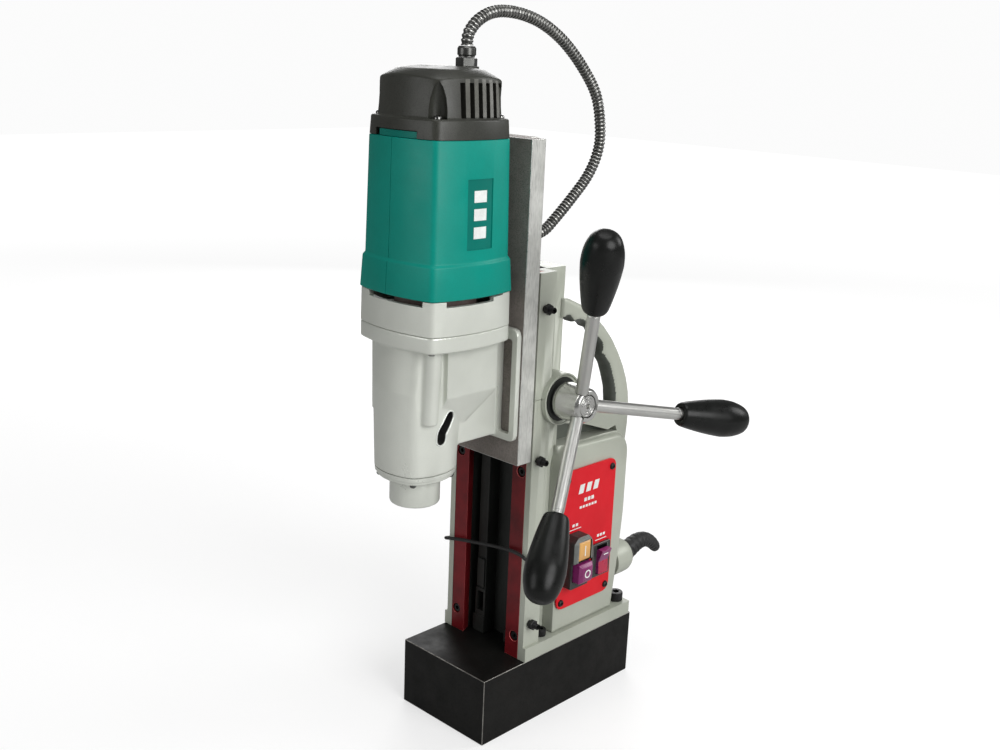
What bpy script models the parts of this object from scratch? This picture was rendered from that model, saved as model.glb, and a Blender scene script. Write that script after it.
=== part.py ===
"""Magnetic drill press: a motor and gearbox on a rack-fed slide, over an electromagnet base.

The frame is +Z up, with the origin at the middle of the magnet's underside. -Y is the front,
where the spindle is, and +X is the side of the feed handle and the switches.
Lengths below are in millimetres; the helpers turn them into metres.
"""

from math import acos, asin, atan2, ceil, cos, pi, radians, sin, sqrt, tan

import bmesh
import bpy
from mathutils import Matrix, Vector

MM = 0.001
GAP = 0.3                      # left between pieces that touch

# ---- driving dimensions ------------------------------------------------------------------
BASE_W, BASE_L, BASE_H = 97.4, 190.0, 58.5
COIL_POCKET = (78.0, 166.0, 44.0)          # width, length, depth from below
CORE = (40.0, 128.0)                       # middle pole of the magnet

COLUMN_HALF = 46.0
COLUMN_FRONT, WALL_BACK, WEB_BACK = -47.5, -28.5, -4.0
WEB_HALF, COLUMN_TOP = 33.0, 389.0
CHANNEL_HALF, LEDGE_Y = 40.3, -37.2        # recess for the gib strips
RACK_SLOT_HALF, RACK_SLOT_Y = 30.0, -24.0
FLANGE_HALF, FLANGE_BACK, FLANGE_TOP = 49.0, 92.0, 71.0

STRIP_X = (25.3, 40.0)
STRIP_FRONT, STRIP_BACK, DOVETAIL = -47.5, -37.5, 0.43
STRIP_SCREW_X = 34.7
STRIP_SCREW_Z = {"bottom": 78.0, "middle": 224.5, "top": 371.0}
SET_SCREW_Y, SET_SCREW_Z = -41.0, {"bottom": 92.0, "middle": 236.0, "top": 360.7}
FRONT_BOLT, REAR_BOLT = (39.5, -19.0), (39.0, 84.0)

SLIDE_HALF, SLIDE_FRONT, SLIDE_BACK = 45.7, -64.0, -48.7
SLIDE_Z = (236.0, 490.5)
TONGUE_HALF, TONGUE_BACK = 24.3, -38.2

HUB_Y, HUB_Z = -19.0, 284.5
RACK_MODULE, PINION_TEETH = 1.5, 14
PINION_R = RACK_MODULE * PINION_TEETH / 2
RACK_PITCH_Y = HUB_Y - PINION_R
SPOKE_X, SPOKE_R, SPOKE_CONE, SPOKE_TURN = 68.6, 5.1, 20.0, -19.0
SPOKE_FROM, SPOKE_TO = 12.4, 122.0
KNOB_FROM, KNOB_TO, KNOB_R = 97.6, 166.8, 15.8

MOTOR_Y, SPINDLE_Y = -114.5, -131.4
BULGE = 6.5                                # how far a housing's sides bow out
NOSE_Z, COVER_Z, BODY_Z = 207.0, 233.5, 240.0
FLANGE_Z, FRAME_Z, SKIRT_Z, CAP_Z = (339.2, 351.7), (352.0, 377.5), 378.0, 491.0
CAP_TOP = 541.0

BOX_HALF, BOX_FRONT, BOX_TOP = 45.0, -9.6, 238.0
HANDLE_X, HANDLE_HALF = 29.0, 8.1
HANDLE_SIDE = [                            # the carrying handle's outline, as (y, z)
    (-8, 364.5), (2, 361.5), (18, 354.5), (36, 343), (49, 332), (59.5, 321), (69, 308),
    (77, 295), (83, 282), (87, 269), (89, 256), (89.3, 240), (88, 225), (85, 210), (78, 196),
    (60, 196), (64, 225), (66, 245), (66.3, 258), (66.2, 266), (64.5, 274), (59.6, 286.8),
    (54.9, 297), (50.8, 302.4), (46.4, 308.2), (43.2, 311), (41.5, 318.1), (36.5, 323.5),
    (31.5, 330.4), (24, 334.5), (16.5, 339.9), (7.5, 342), (0, 345.8), (-8, 348.5)]
NECK_SIDE = [(-7, 225), (74, 225), (74, 254), (56, 261), (12, 261), (-7, 280)]
NECK_RECESS = [(-12, 238.5), (-12, 259), (-2.6, 257.4), (21.6, 252.6), (35.9, 247.9),
               (54.5, 241.1), (59.2, 239.6), (69.1, 241.6), (71.5, 236.2), (58, 237.4)]
PANEL = ((-9.0, 92.0), (61.0, 217.0))      # corners, as (y, z)
PANEL_X = (45.3, 47.3)
OUTLET_X, OUTLET_Z = 28.0, 108.0

GLAND_Y, COLUMN_GLAND_Y = -89.5, -14.0
CONDUIT_R, CORD_R = 4.7, 1.5

CONDUIT_ROUTE = [                          # (y, z) in the middle plane, column to motor
    (-14.0, 399.4), (-13.8, 403.0), (-9.5, 407.6), (-2.0, 410.2), (6.0, 413.0),
    (14.0, 418.4), (35.1, 435.2),
    (56.4, 454.9), (67.6, 475.2), (68.2, 495.8), (60.7, 520.2), (42.2, 541.5),
    (18.6, 560.3), (-6.0, 572.9), (-29.1, 579.2), (-51.1, 581.0), (-66.9, 578.8),
    (-79.6, 572.8), (-87.4, 565.0), (-89.4, 558.6), (-89.5, 555.0)]
CORD_ROUTE = [                             # round the front of the column, right to left
    (34.8, -22.0, 137.0), (40.5, -24.6, 137.2), (46.5, -25.4, 138.0), (49.0, -30.0, 139.5),
    (49.2, -38.0, 143.5), (49.2, -46.0, 149.5), (47.6, -50.4, 152.6), (42.0, -50.8, 154.6),
    (30.0, -50.6, 155.0), (10.0, -50.4, 152.4), (-12.0, -50.4, 148.6), (-32.0, -50.6, 144.8),
    (-42.0, -50.8, 142.4), (-47.6, -50.4, 141.0), (-49.2, -46.0, 139.6), (-49.2, -38.0, 138.2),
    (-49.0, -30.0, 137.4), (-46.5, -25.4, 137.0), (-40.5, -24.6, 136.8), (-34.8, -22.0, 136.6)]

# ---- materials ---------------------------------------------------------------------------
FINISHES = {                               # colour, roughness, metallic
    "magnet_black": ((0.012, 0.012, 0.011), 0.35, 0.6),
    "copper": ((0.60, 0.25, 0.12), 0.35, 1.0),
    "potting": ((0.03, 0.03, 0.035), 0.5, 0.0),
    "casting_paint": ((0.42, 0.45, 0.38), 0.45, 0.1),
    "strip_red": ((0.17, 0.012, 0.02), 0.35, 0.3),
    "screw_black": ((0.015, 0.015, 0.015), 0.35, 0.7),
    "slide_steel": ((0.16, 0.16, 0.15), 0.4, 0.8),
    "steel": ((0.55, 0.55, 0.53), 0.25, 1.0),
    "knob_plastic": ((0.013, 0.014, 0.013), 0.4, 0.0),
    "silver_paint": ((0.56, 0.59, 0.54), 0.35, 0.3),
    "teal_plastic": ((0.0, 0.33, 0.26), 0.4, 0.0),
    "cap_plastic": ((0.075, 0.07, 0.058), 0.5, 0.0),
    "panel_red": ((0.75, 0.03, 0.035), 0.35, 0.0),
    "switch_black": ((0.02, 0.02, 0.022), 0.4, 0.0),
    "start_amber": ((0.75, 0.42, 0.10), 0.35, 0.0),
    "stop_purple": ((0.25, 0.02, 0.16), 0.35, 0.0),
    "rubber": ((0.012, 0.012, 0.012), 0.6, 0.0),
    "conduit_metal": ((0.06, 0.06, 0.058), 0.35, 0.8),
    "board_green": ((0.02, 0.15, 0.06), 0.5, 0.0),
    "carbon": ((0.02, 0.02, 0.02), 0.6, 0.0),
}

for old in list(bpy.data.objects):
    bpy.data.objects.remove(old, do_unlink=True)

PARTS = bpy.data.collections.new("magnetic_drill_press")
CUTTERS = bpy.data.collections.new("cutters")
for group in (PARTS, CUTTERS):
    bpy.context.scene.collection.children.link(group)


def finish(name):
    """The Principled material of that name, made on first use."""
    if name in bpy.data.materials:
        return bpy.data.materials[name]
    colour, roughness, metallic = FINISHES[name]
    made = bpy.data.materials.new(name)
    made.use_nodes = True
    shader = made.node_tree.nodes["Principled BSDF"]
    shader.inputs["Base Color"].default_value = (*colour, 1.0)
    shader.inputs["Roughness"].default_value = roughness
    shader.inputs["Metallic"].default_value = metallic
    return made


# ---- modelling helpers -------------------------------------------------------------------
def keep(obj, material=None, smooth=True):
    """Puts an object in the parts collection, or among the cutters if it has no material."""
    (PARTS if material else CUTTERS).objects.link(obj)
    if material:
        obj.data.materials.append(finish(material))
        if smooth and obj.type == "MESH":
            obj.data.shade_smooth()
            obj.data.set_sharp_from_angle(angle=radians(35))
    else:
        obj.hide_render = True
        obj.display_type = "WIRE"
    return obj


def from_bmesh(name, shape, material=None):
    mesh = bpy.data.meshes.new(name)
    shape.to_mesh(mesh)
    shape.free()
    return keep(bpy.data.objects.new(name, mesh), material)


def add_box(shape, low, high):
    size = [b - a for a, b in zip(low, high)]
    middle = [(a + b) / 2 for a, b in zip(low, high)]
    place = Matrix.Translation(Vector(middle) * MM) @ Matrix.Diagonal((*[s * MM for s in size], 1))
    bmesh.ops.create_cube(shape, size=1.0, matrix=place)


def box(name, low, high, material=None, bevel=0.0):
    """A box between two corners, with its edges broken by bevel."""
    shape = bmesh.new()
    add_box(shape, low, high)
    made = from_bmesh(name, shape, material)
    if bevel:
        edge = made.modifiers.new("edges", "BEVEL")
        edge.width = bevel * MM
        edge.segments = 1
    return made


def turn_to(direction):
    """The rotation that takes +Z to a direction."""
    return Vector((0, 0, 1)).rotation_difference(Vector(direction)).to_matrix().to_4x4()


def add_rod(shape, start, end, r1, r2=None, sides=24):
    start, end = Vector(start), Vector(end)
    along = end - start
    place = Matrix.Translation((start + end) / 2 * MM) @ turn_to(along)
    bmesh.ops.create_cone(shape, cap_ends=True, segments=sides, radius1=r1 * MM,
                          radius2=(r1 if r2 is None else r2) * MM,
                          depth=along.length * MM, matrix=place)


def rod(name, start, end, radius, material=None, sides=24):
    shape = bmesh.new()
    add_rod(shape, start, end, radius, sides=sides)
    return from_bmesh(name, shape, material)


def rods(name, ends, sides=8):
    """A cutter of several separate rods, each (start, end, radius)."""
    shape = bmesh.new()
    for start, end, radius in ends:
        add_rod(shape, start, end, radius, sides=sides)
    return from_bmesh(name, shape)


def boxes(name, corners):
    """A cutter of several separate boxes, each (low, high)."""
    shape = bmesh.new()
    for low, high in corners:
        add_box(shape, low, high)
    return from_bmesh(name, shape)


def turned(name, profile, origin, direction, material=None, sides=32):
    """A turned piece: (radius, height) down its outer side, about an axis through origin."""
    mesh = bpy.data.meshes.new(name)
    closed = profile[0][0] > 0
    edges = [(i, i + 1) for i in range(len(profile) - 1)]
    if closed:
        edges.append((len(profile) - 1, 0))
    mesh.from_pydata([(r * MM, 0, h * MM) for r, h in profile], edges, [])
    made = keep(bpy.data.objects.new(name, mesh), material)
    made.location = Vector(origin) * MM
    made.rotation_mode = "QUATERNION"
    made.rotation_quaternion = Vector((0, 0, 1)).rotation_difference(Vector(direction))
    lathe = made.modifiers.new("lathe", "SCREW")
    lathe.steps = lathe.render_steps = sides
    lathe.use_merge_vertices = True
    lathe.merge_threshold = 0.00001
    lathe.use_smooth_shade = True
    return made


def outline(name, points, axis, low, high, material=None):
    """A flat outline extruded along an axis. points are (y, z), (x, z) or (x, y)."""
    curve = bpy.data.curves.new(name, "CURVE")
    curve.dimensions = "2D"
    curve.fill_mode = "BOTH"
    curve.extrude = (high - low) / 2 * MM
    spline = curve.splines.new("POLY")
    spline.points.add(len(points) - 1)
    for point, (u, v) in zip(spline.points, points):
        point.co = (u * MM, v * MM, 0, 1)
    spline.use_cyclic_u = True
    turns = {"X": Matrix(((0, 0, 1), (1, 0, 0), (0, 1, 0))).to_4x4(),
             "Y": Matrix(((1, 0, 0), (0, 0, -1), (0, 1, 0))).to_4x4(),
             "Z": Matrix.Identity(4)}
    middle = (low + high) / 2 * MM
    shift = {"X": (middle, 0, 0), "Y": (0, middle, 0), "Z": (0, 0, middle)}[axis]
    return meshed(name, curve, Matrix.Translation(shift) @ turns[axis], material)


def meshed(name, curve, place, material=None):
    """The mesh of a curve, with its loose caps welded on."""
    drawn = bpy.data.objects.new(name + "_curve", curve)
    bpy.context.scene.collection.objects.link(drawn)
    bpy.context.view_layer.update()
    seen = drawn.evaluated_get(bpy.context.evaluated_depsgraph_get())
    mesh = bpy.data.meshes.new_from_object(seen)
    bpy.data.objects.remove(drawn, do_unlink=True)
    shape = bmesh.new()
    shape.from_mesh(mesh)
    bmesh.ops.remove_doubles(shape, verts=shape.verts, dist=0.000001)
    bmesh.ops.recalc_face_normals(shape, faces=shape.faces)
    shape.to_mesh(mesh)
    shape.free()
    made = bpy.data.objects.new(name, mesh)
    made.matrix_world = place
    return keep(made, material)


def tube(name, points, radius, material=None, resolution=2, radii=None):
    """A round bar along points, which may change radius on the way."""
    curve = bpy.data.curves.new(name, "CURVE")
    curve.dimensions = "3D"
    curve.bevel_depth = radius * MM
    curve.bevel_resolution = resolution
    curve.use_fill_caps = True
    spline = curve.splines.new("POLY")
    spline.points.add(len(points) - 1)
    for i, (point, place) in enumerate(zip(spline.points, points)):
        point.co = (*(Vector(place) * MM), 1)
        point.radius = radii[i] if radii else 1.0
    return meshed(name, curve, Matrix.Identity(4), material)


def smooth_route(points, spacing):
    """Points about spacing apart along a smooth curve through the given ones."""
    ends = [Vector(p) for p in points]
    ends = [ends[0] * 2 - ends[1], *ends, ends[-1] * 2 - ends[-2]]
    route = []
    for a, b, c, d in zip(ends, ends[1:], ends[2:], ends[3:]):
        steps = max(1, round((c - b).length / spacing))
        for i in range(steps):
            t = i / steps
            route.append(0.5 * (2 * b + (c - a) * t + (2 * a - 5 * b + 4 * c - d) * t * t
                                + (3 * b - a - 3 * c + d) * t * t * t))
    return [*route, ends[-2]]


def boolean(target, tool, operation="DIFFERENCE"):
    step = target.modifiers.new(operation.lower(), "BOOLEAN")
    step.operation = operation
    step.object = tool
    step.solver = "EXACT"
    return target


def cut(target, tool):
    return boolean(target, tool)


def unite(target, tool):
    return boolean(target, tool, "UNION")


def loft(name, rings, material=None, hollow=False):
    """A solid through rings of equal point counts. A hollow one's last ring meets its first."""
    shape = bmesh.new()
    loops = [[shape.verts.new(Vector(p) * MM) for p in ring] for ring in rings]
    pairs = list(zip(loops, loops[1:]))
    if hollow:
        pairs.append((loops[-1], loops[0]))
    for upper, lower in pairs:
        for i in range(len(upper)):
            j = (i + 1) % len(upper)
            shape.faces.new((upper[i], upper[j], lower[j], lower[i]))
    if not hollow:
        shape.faces.new(loops[0])
        shape.faces.new(list(reversed(loops[-1])))
    bmesh.ops.recalc_face_normals(shape, faces=shape.faces)
    bmesh.ops.triangulate(shape, faces=shape.faces)
    return from_bmesh(name, shape, material)


def bowed_square(half, bulge, z, middle_y, corner=7.0, steps=4):
    """A square's outline at height z whose sides bow out, with its corners rounded."""
    radius = (half * half + bulge * bulge) / (2 * bulge)     # of each bowed side
    reach = half - corner * 0.75
    side = []
    for i in range(steps + 1):
        along = -reach + 2 * reach * i / steps
        out = half + bulge - (radius - sqrt(radius * radius - along * along))
        side.append((out, along))
    ring = []
    for turn in range(4):
        c, s = cos(turn * pi / 2), sin(turn * pi / 2)
        ring += [(x * c - y * s, middle_y + x * s + y * c, z) for x, y in side]
        x, y = half - corner * 0.2, half - corner * 0.2
        ring.append((x * c - y * s, middle_y + x * s + y * c, z))
    return ring


def inset_outline(points, inset):
    """A closed outline moved in by the same width all round."""
    moved = []
    for before, here, after in zip(points[-1:] + points[:-1], points, points[1:] + points[:1]):
        along = (Vector(after) - Vector(before)).normalized()
        moved.append(tuple(Vector(here) + inset * Vector((along.y, -along.x))))
    return moved


def rectangle(half_x, half_y, z):
    return [(half_x, -half_y, z), (half_x, half_y, z), (-half_x, half_y, z),
            (-half_x, -half_y, z)]


def involute(angle_from_base):
    return tan(angle_from_base) - angle_from_base


def gear_outline(teeth, module, middle, phase, thickness=0.44):
    """A spur gear's outline with a tooth centred on the phase angle, in radians."""
    pitch, pressure = teeth * module / 2, radians(20)
    base = pitch * cos(pressure)
    tip, root = pitch + 0.9 * module, pitch - 1.15 * module
    half_tooth = thickness * pi / teeth + involute(pressure)
    start = max(root, base)
    flank = [(r, half_tooth - involute(acos(min(1.0, base / r)))) for r in (start, tip)]
    flank[0] = (root, flank[0][1])
    points = []
    for tooth in range(teeth):
        mid = phase + tooth * 2 * pi / teeth
        for r, a in flank:
            points.append((r, mid - a))
        for r, a in reversed(flank):
            points.append((r, mid + a))
    return [(middle[0] + r * cos(a), middle[1] + r * sin(a)) for r, a in points]


# ---- magnet base -------------------------------------------------------------------------
def magnet():
    width, length, depth = COIL_POCKET
    core_w, core_l = CORE
    block = box("magnet_housing", (-BASE_W / 2, -BASE_L / 2, 0),
                (BASE_W / 2, BASE_L / 2, BASE_H), "magnet_black", bevel=0.8)
    pocket = boxes("coil_pocket", [
        ((-width / 2, -length / 2, -5), (-core_w / 2, length / 2, depth)),
        ((core_w / 2, -length / 2, -5), (width / 2, length / 2, depth)),
    ])
    ends = boxes("coil_pocket_ends", [
        ((-width / 2, -length / 2, -5), (width / 2, -core_l / 2, depth)),
        ((-width / 2, core_l / 2, -5), (width / 2, length / 2, depth)),
    ])
    cut(block, pocket)
    cut(block, ends)
    holes = [((sx * x, y, BASE_H - 12), (sx * x, y, BASE_H + 5), r)
             for (x, y), r in ((FRONT_BOLT, 3.3), (REAR_BOLT, 4.3)) for sx in (-1, 1)]
    cut(block, rods("base_bolt_holes", holes))
    for name, material, low, high, inset in (
            ("magnet_coil", "copper", 12.0, 42.0, 1.0),
            ("magnet_potting", "potting", 0.4, 11.6, GAP)):
        outer = (width / 2 - inset, length / 2 - inset)
        inner = (core_w / 2 + inset, core_l / 2 + inset)
        loft(name, [rectangle(*outer, high), rectangle(*outer, low),
                    rectangle(*inner, low), rectangle(*inner, high)], material, hollow=True)


# ---- column and its fittings -------------------------------------------------------------
def column():
    low = BASE_H + GAP
    plan = [(-COLUMN_HALF, COLUMN_FRONT), (COLUMN_HALF, COLUMN_FRONT),
            (COLUMN_HALF, WALL_BACK), (WEB_HALF, WALL_BACK), (WEB_HALF, WEB_BACK),
            (-WEB_HALF, WEB_BACK), (-WEB_HALF, WALL_BACK), (-COLUMN_HALF, WALL_BACK)]
    body = outline("column", plan, "Z", low, COLUMN_TOP, "casting_paint")
    unite(body, box("foot_flange", (-FLANGE_HALF, COLUMN_FRONT, low),
                    (FLANGE_HALF, FLANGE_BACK, FLANGE_TOP)))
    unite(body, rod("hub_boss", (20, HUB_Y, HUB_Z), (50.7, HUB_Y, HUB_Z), 21.5, sides=32))
    channel = [(-CHANNEL_HALF, COLUMN_FRONT - 9), (CHANNEL_HALF, COLUMN_FRONT - 9),
               (CHANNEL_HALF, LEDGE_Y), (RACK_SLOT_HALF, LEDGE_Y),
               (RACK_SLOT_HALF, RACK_SLOT_Y), (-RACK_SLOT_HALF, RACK_SLOT_Y),
               (-RACK_SLOT_HALF, LEDGE_Y), (-CHANNEL_HALF, LEDGE_Y)]
    cut(body, outline("channel", channel, "Z", low - 9, COLUMN_TOP + 9))
    cut(body, rod("shaft_bore", (-12.0, HUB_Y, HUB_Z), (60, HUB_Y, HUB_Z), 8.2))
    cut(body, rods("pinion_room", [((-11.5, HUB_Y, HUB_Z), (11.5, HUB_Y, HUB_Z), 13.2),
                                   ((44, HUB_Y, HUB_Z), (60, HUB_Y, HUB_Z), 18.3),
                                   ((-40, HUB_Y, HUB_Z), (-12.6, HUB_Y, HUB_Z), 11.0)], 24))
    cut(body, rod("bearing_step", (-13, HUB_Y, HUB_Z), (-11, HUB_Y, HUB_Z), 8.2))
    holes = [((sx * STRIP_SCREW_X, LEDGE_Y - 4, z), (sx * STRIP_SCREW_X, LEDGE_Y + 7.4, z), 2.3)
             for sx in (-1, 1) for z in STRIP_SCREW_Z.values()]
    holes += [((CHANNEL_HALF - 4, SET_SCREW_Y, z), (COLUMN_HALF + 4, SET_SCREW_Y, z), 2.8)
              for z in SET_SCREW_Z.values()]
    holes += [((sx * x, y, low - 5), (sx * x, y, FLANGE_TOP + 5), r)
              for (x, y), r in ((FRONT_BOLT, 3.3), (REAR_BOLT, 4.3)) for sx in (-1, 1)]
    cut(body, rods("column_holes", holes))


def gib_strips():
    low, high = BASE_H + GAP, COLUMN_TOP
    inner, outer = STRIP_X
    for side, sx in (("left", -1), ("right", 1)):
        lean = DOVETAIL * (STRIP_BACK - STRIP_FRONT)
        plan = [(sx * inner, STRIP_FRONT), (sx * outer, STRIP_FRONT),
                (sx * outer, STRIP_BACK), (sx * (inner + lean), STRIP_BACK)]
        strip = outline("gib_strip_" + side, plan, "Z", low, high, "strip_red")
        holes, sinks = [], []
        for z in STRIP_SCREW_Z.values():
            x = sx * STRIP_SCREW_X
            holes.append(((x, STRIP_FRONT + 4, z), (x, STRIP_BACK + 4, z), 2.3))
            sinks.append(((x, STRIP_FRONT - 4, z), (x, STRIP_FRONT + 5.4, z), 4.4))
        cut(strip, rods("strip_holes_" + side, holes))
        cut(strip, rods("strip_sinks_" + side, sinks, 12))
        for level, z in STRIP_SCREW_Z.items():
            x = sx * STRIP_SCREW_X
            socket_screw(f"strip_screw_{side}_{level}", (x, STRIP_FRONT + 5.1, z), (0, -1, 0),
                         3.7, 4.2, 2.0, 11.5, sides=8)


def socket_screw(name, seat, out, head_r, head_h, shank_r, shank_l, sides=12):
    """A cap screw whose head stands on seat and points out, with its key socket open."""
    socket_r, socket_d = head_r * 0.52, head_h * 0.55
    profile = [(0, head_h - socket_d), (socket_r, head_h - socket_d), (socket_r, head_h),
               (head_r * 0.93, head_h), (head_r, head_h * 0.9), (head_r, 0),
               (shank_r, 0), (shank_r, -shank_l), (0, -shank_l)]
    return turned(name, profile, seat, out, "screw_black", sides)


def fasteners():
    for side, sx in (("left", -1), ("right", 1)):
        (x, y), (u, v) = FRONT_BOLT, REAR_BOLT
        socket_screw("flange_bolt_front_" + side, (sx * x, y, FLANGE_TOP + GAP), (0, 0, 1),
                     5.0, 6.0, 3.0, 23.0)
        socket_screw("flange_bolt_rear_" + side, (sx * u, v, FLANGE_TOP + GAP), (0, 0, 1),
                     6.5, 8.0, 4.0, 23.0)
    for level, z in SET_SCREW_Z.items():
        name = "gib_set_screw_" + level
        screw = rod(name, (STRIP_X[1] + GAP, SET_SCREW_Y, z), (55.4, SET_SCREW_Y, z), 2.5,
                    "screw_black", sides=12)
        unite(screw, rod(name + "_nut", (COLUMN_HALF + GAP, SET_SCREW_Y, z),
                         (COLUMN_HALF + 4.2, SET_SCREW_Y, z), 4.7, sides=6))


def shaft_supports():
    turned("pinion_bush", [(18.0, 5.4), (18.0, 0), (7.35, 0), (7.35, 5.4)],
           (44.3, HUB_Y, HUB_Z), (1, 0, 0), "slide_steel", 24)
    turned("shaft_bearing", [(10.7, 11.0), (10.7, 0), (7.35, 0), (7.35, 11.0)],
           (-24.0, HUB_Y, HUB_Z), (1, 0, 0), "steel", 16)


# ---- rear housing, handle and switches ----------------------------------------------------
def rear_housing():
    low = FLANGE_TOP + GAP
    side = [(BOX_FRONT, low), (72.6, low), (78.6, 120), (82, 160), (82, 222), (77, 231),
            (69, 235.5), (6, BOX_TOP), (-3, 234), (BOX_FRONT, 224)]
    rings = []
    for x, inset in ((-BOX_HALF, 5.0), (2.0 - BOX_HALF, 1.5), (6.0 - BOX_HALF, 0.0),
                     (BOX_HALF - 6.0, 0.0), (BOX_HALF - 2.0, 1.5), (BOX_HALF, 5.0)):
        rings.append([(x, y - inset if y > 60 else y, z - 0.5 * inset if z > 230 else z)
                      for y, z in side])
    body = loft("rear_housing", rings, "casting_paint")
    neck = outline("handle_root", NECK_SIDE, "X", 14.0, HANDLE_X + 8.3)
    unite(body, cut(neck, outline("neck_recess", NECK_RECESS, "X", 23.0, 50.0)))
    rings = []
    for x, inset in ((-HANDLE_HALF, 2.6), (2.6 - HANDLE_HALF, 0.0), (HANDLE_HALF - 2.6, 0.0),
                     (HANDLE_HALF, 2.6)):
        rings.append([(HANDLE_X + x, y, z) for y, z in inset_outline(HANDLE_SIDE, inset)])
    unite(body, loft("handle_bar", rings))
    room = box("column_room", (-WEB_HALF - GAP, -60, 60), (WEB_HALF + GAP, -3.7, 400))
    cut(body, room)
    cut(body, rod("boss_room", (15, HUB_Y, HUB_Z), (60, HUB_Y, HUB_Z), 21.5 + GAP))
    cut(body, box("electrics_room", (-39, -1, 97), (60, 58, 212)))
    cut(body, rod("outlet_hole", (OUTLET_X, 40, OUTLET_Z), (OUTLET_X, 95, OUTLET_Z), 6.5))


def switch_panel():
    (y0, z0), (y1, z1) = PANEL
    corner, points = 6.0, []
    for cy, cz, start in ((y1 - corner, z1 - corner, 0), (y0 + corner, z1 - corner, 90),
                          (y0 + corner, z0 + corner, 180), (y1 - corner, z0 + corner, 270)):
        for step in range(4):
            a = radians(start + 30 * step)
            points.append((cy + corner * cos(a), cz + corner * sin(a)))
    plate = outline("switch_panel", points, "X", *PANEL_X, "panel_red")
    cut(plate, boxes("panel_windows", [((40, -0.5, 115.5), (55, 18.5, 158.5)),
                                       ((40, 36.2, 112.9), (55, 54.8, 140.1))]))


def motor_switch():
    block = box("motor_switch_block", (28, 0, 116), (49, 18, 158), "switch_black")
    unite(block, box("switch_head", (PANEL_X[1] + GAP, -2.5, 113), (61, 20.5, 160.5)))
    cut(block, boxes("button_wells", [((49.5, 1.0, 139), (66, 17.0, 157)),
                                      ((49.5, 0, 119), (66, 18, 137.5))]))
    box("start_button", (53.5, 1.5, 139.5), (61, 16.5, 156.5), "start_amber", bevel=0.6)
    box("stop_button", (53.5, 0.5, 119.5), (65, 17.5, 137.0), "stop_purple", bevel=0.6)


def magnet_switch():
    pivot = (46.5, 126.5)
    frame = box("magnet_switch_frame", (26, 37, 114), (48, 54, 139), "switch_black")
    unite(frame, box("rocker_bezel", (PANEL_X[1] + GAP, 33.5, 111), (50, 57, 142)))
    cut(frame, box("rocker_well", (38, 38.5, 112.7), (55, 52.5, 140.3)))
    unite(frame, box("frame_back", (26, 37, 114), (37.6, 54, 139)))
    lean = radians(-8)
    shape = [(-4, -5), (3, -11.5), (8, -11.5), (5.6, 0), (8, 11.5), (3, 11.5), (-4, 5)]
    points = [(pivot[0] + x * cos(lean) - z * sin(lean), pivot[1] + x * sin(lean) + z * cos(lean))
              for x, z in shape]
    outline("magnet_rocker", points, "Y", 39.0, 52.0, "stop_purple")


def electrics():
    box("control_board", (14, 1, 103), (16, 50, 206), "board_green")
    turned("mains_gland", [(14.5, 24.0), (16.0, 20.0), (16.0, 0), (6.0, 0), (6.0, 24.0)],
           (OUTLET_X, 79.4, OUTLET_Z), (0, 1, 0), "casting_paint", 28)
    route = [(103.8, 108.0), (109, 108.0), (118, 111.2), (127, 113.2), (136, 112.4),
             (144, 109.0), (151, 103.8), (156.5, 98.0)]
    radii = [1.0, 0.98, 0.92, 0.84, 0.76, 0.68, 0.61, 0.56]
    tube("strain_relief", [(OUTLET_X, y, z) for y, z in route], 9.6, "rubber", 2, radii)


# ---- feed handle -------------------------------------------------------------------------
def spoke_direction(number):
    cone, turn = radians(SPOKE_CONE), radians(SPOKE_TURN + 120 * number)
    return Vector((sin(cone), cos(cone) * sin(turn), cos(cone) * cos(turn)))


def feed_handle():
    axis_point = Vector((SPOKE_X, HUB_Y, HUB_Z))
    rack_side = pi                              # a pinion tooth points at the rack, along -Y
    gear = gear_outline(PINION_TEETH, RACK_MODULE, (0, 0), rack_side)
    teeth = [(HUB_Y + x, HUB_Z + y) for x, y in gear]
    shaft = outline("pinion_shaft", teeth, "X", -10.0, 10.0, "steel")
    unite(shaft, rod("shaft_bar", (-24.5, HUB_Y, HUB_Z), (70.0, HUB_Y, HUB_Z), 7.0))
    cut(shaft, rod("shaft_tap", (52, HUB_Y, HUB_Z), (75, HUB_Y, HUB_Z), 4.0, sides=12))

    hub = turned("feed_hub", [(12.8, 77.4), (14.0, 76.6), (15.5, 56.0), (15.5, 51.2),
                              (7.35, 51.2), (7.35, 71.0), (9.3, 71.0), (9.3, 77.4)],
                 (0, HUB_Y, HUB_Z), (1, 0, 0), "steel", 24)
    sockets = [(axis_point + spoke_direction(i) * (SPOKE_FROM - GAP),
                axis_point + spoke_direction(i) * 30, SPOKE_R + GAP) for i in range(3)]
    cut(hub, rods("spoke_sockets", sockets, 12))
    turned("hub_screw", [(0, 3.0), (2.4, 3.0), (2.4, 5.4), (8.5, 5.4), (9.0, 4.9), (9.0, 0),
                         (3.7, 0), (3.7, -16.0), (0, -16.0)],
           (71.3, HUB_Y, HUB_Z), (1, 0, 0), "steel", 16)
    length = KNOB_TO - KNOB_FROM
    knob_line = [(0.0, 1.0), (0.42, 0.985), (0.73, 0.92), (0.93, 0.79), (1.0, 0.66),
                 (0.99, 0.56), (0.90, 0.36), (0.74, 0.13), (0.62, 0.03), (0.56, 0.0)]
    for i in range(3):
        along = spoke_direction(i)
        rod(f"spoke_{i + 1}", axis_point + along * SPOKE_FROM, axis_point + along * SPOKE_TO,
            SPOKE_R, "steel", 12)
        profile = [(r * KNOB_R, h * length) for r, h in knob_line]
        bore_r, bore_top = SPOKE_R + GAP, SPOKE_TO - KNOB_FROM + 1
        profile += [(bore_r, 0.0), (bore_r, bore_top), (0, bore_top)]
        turned(f"knob_{i + 1}", profile, axis_point + along * KNOB_FROM, along,
               "knob_plastic", 16)


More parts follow.
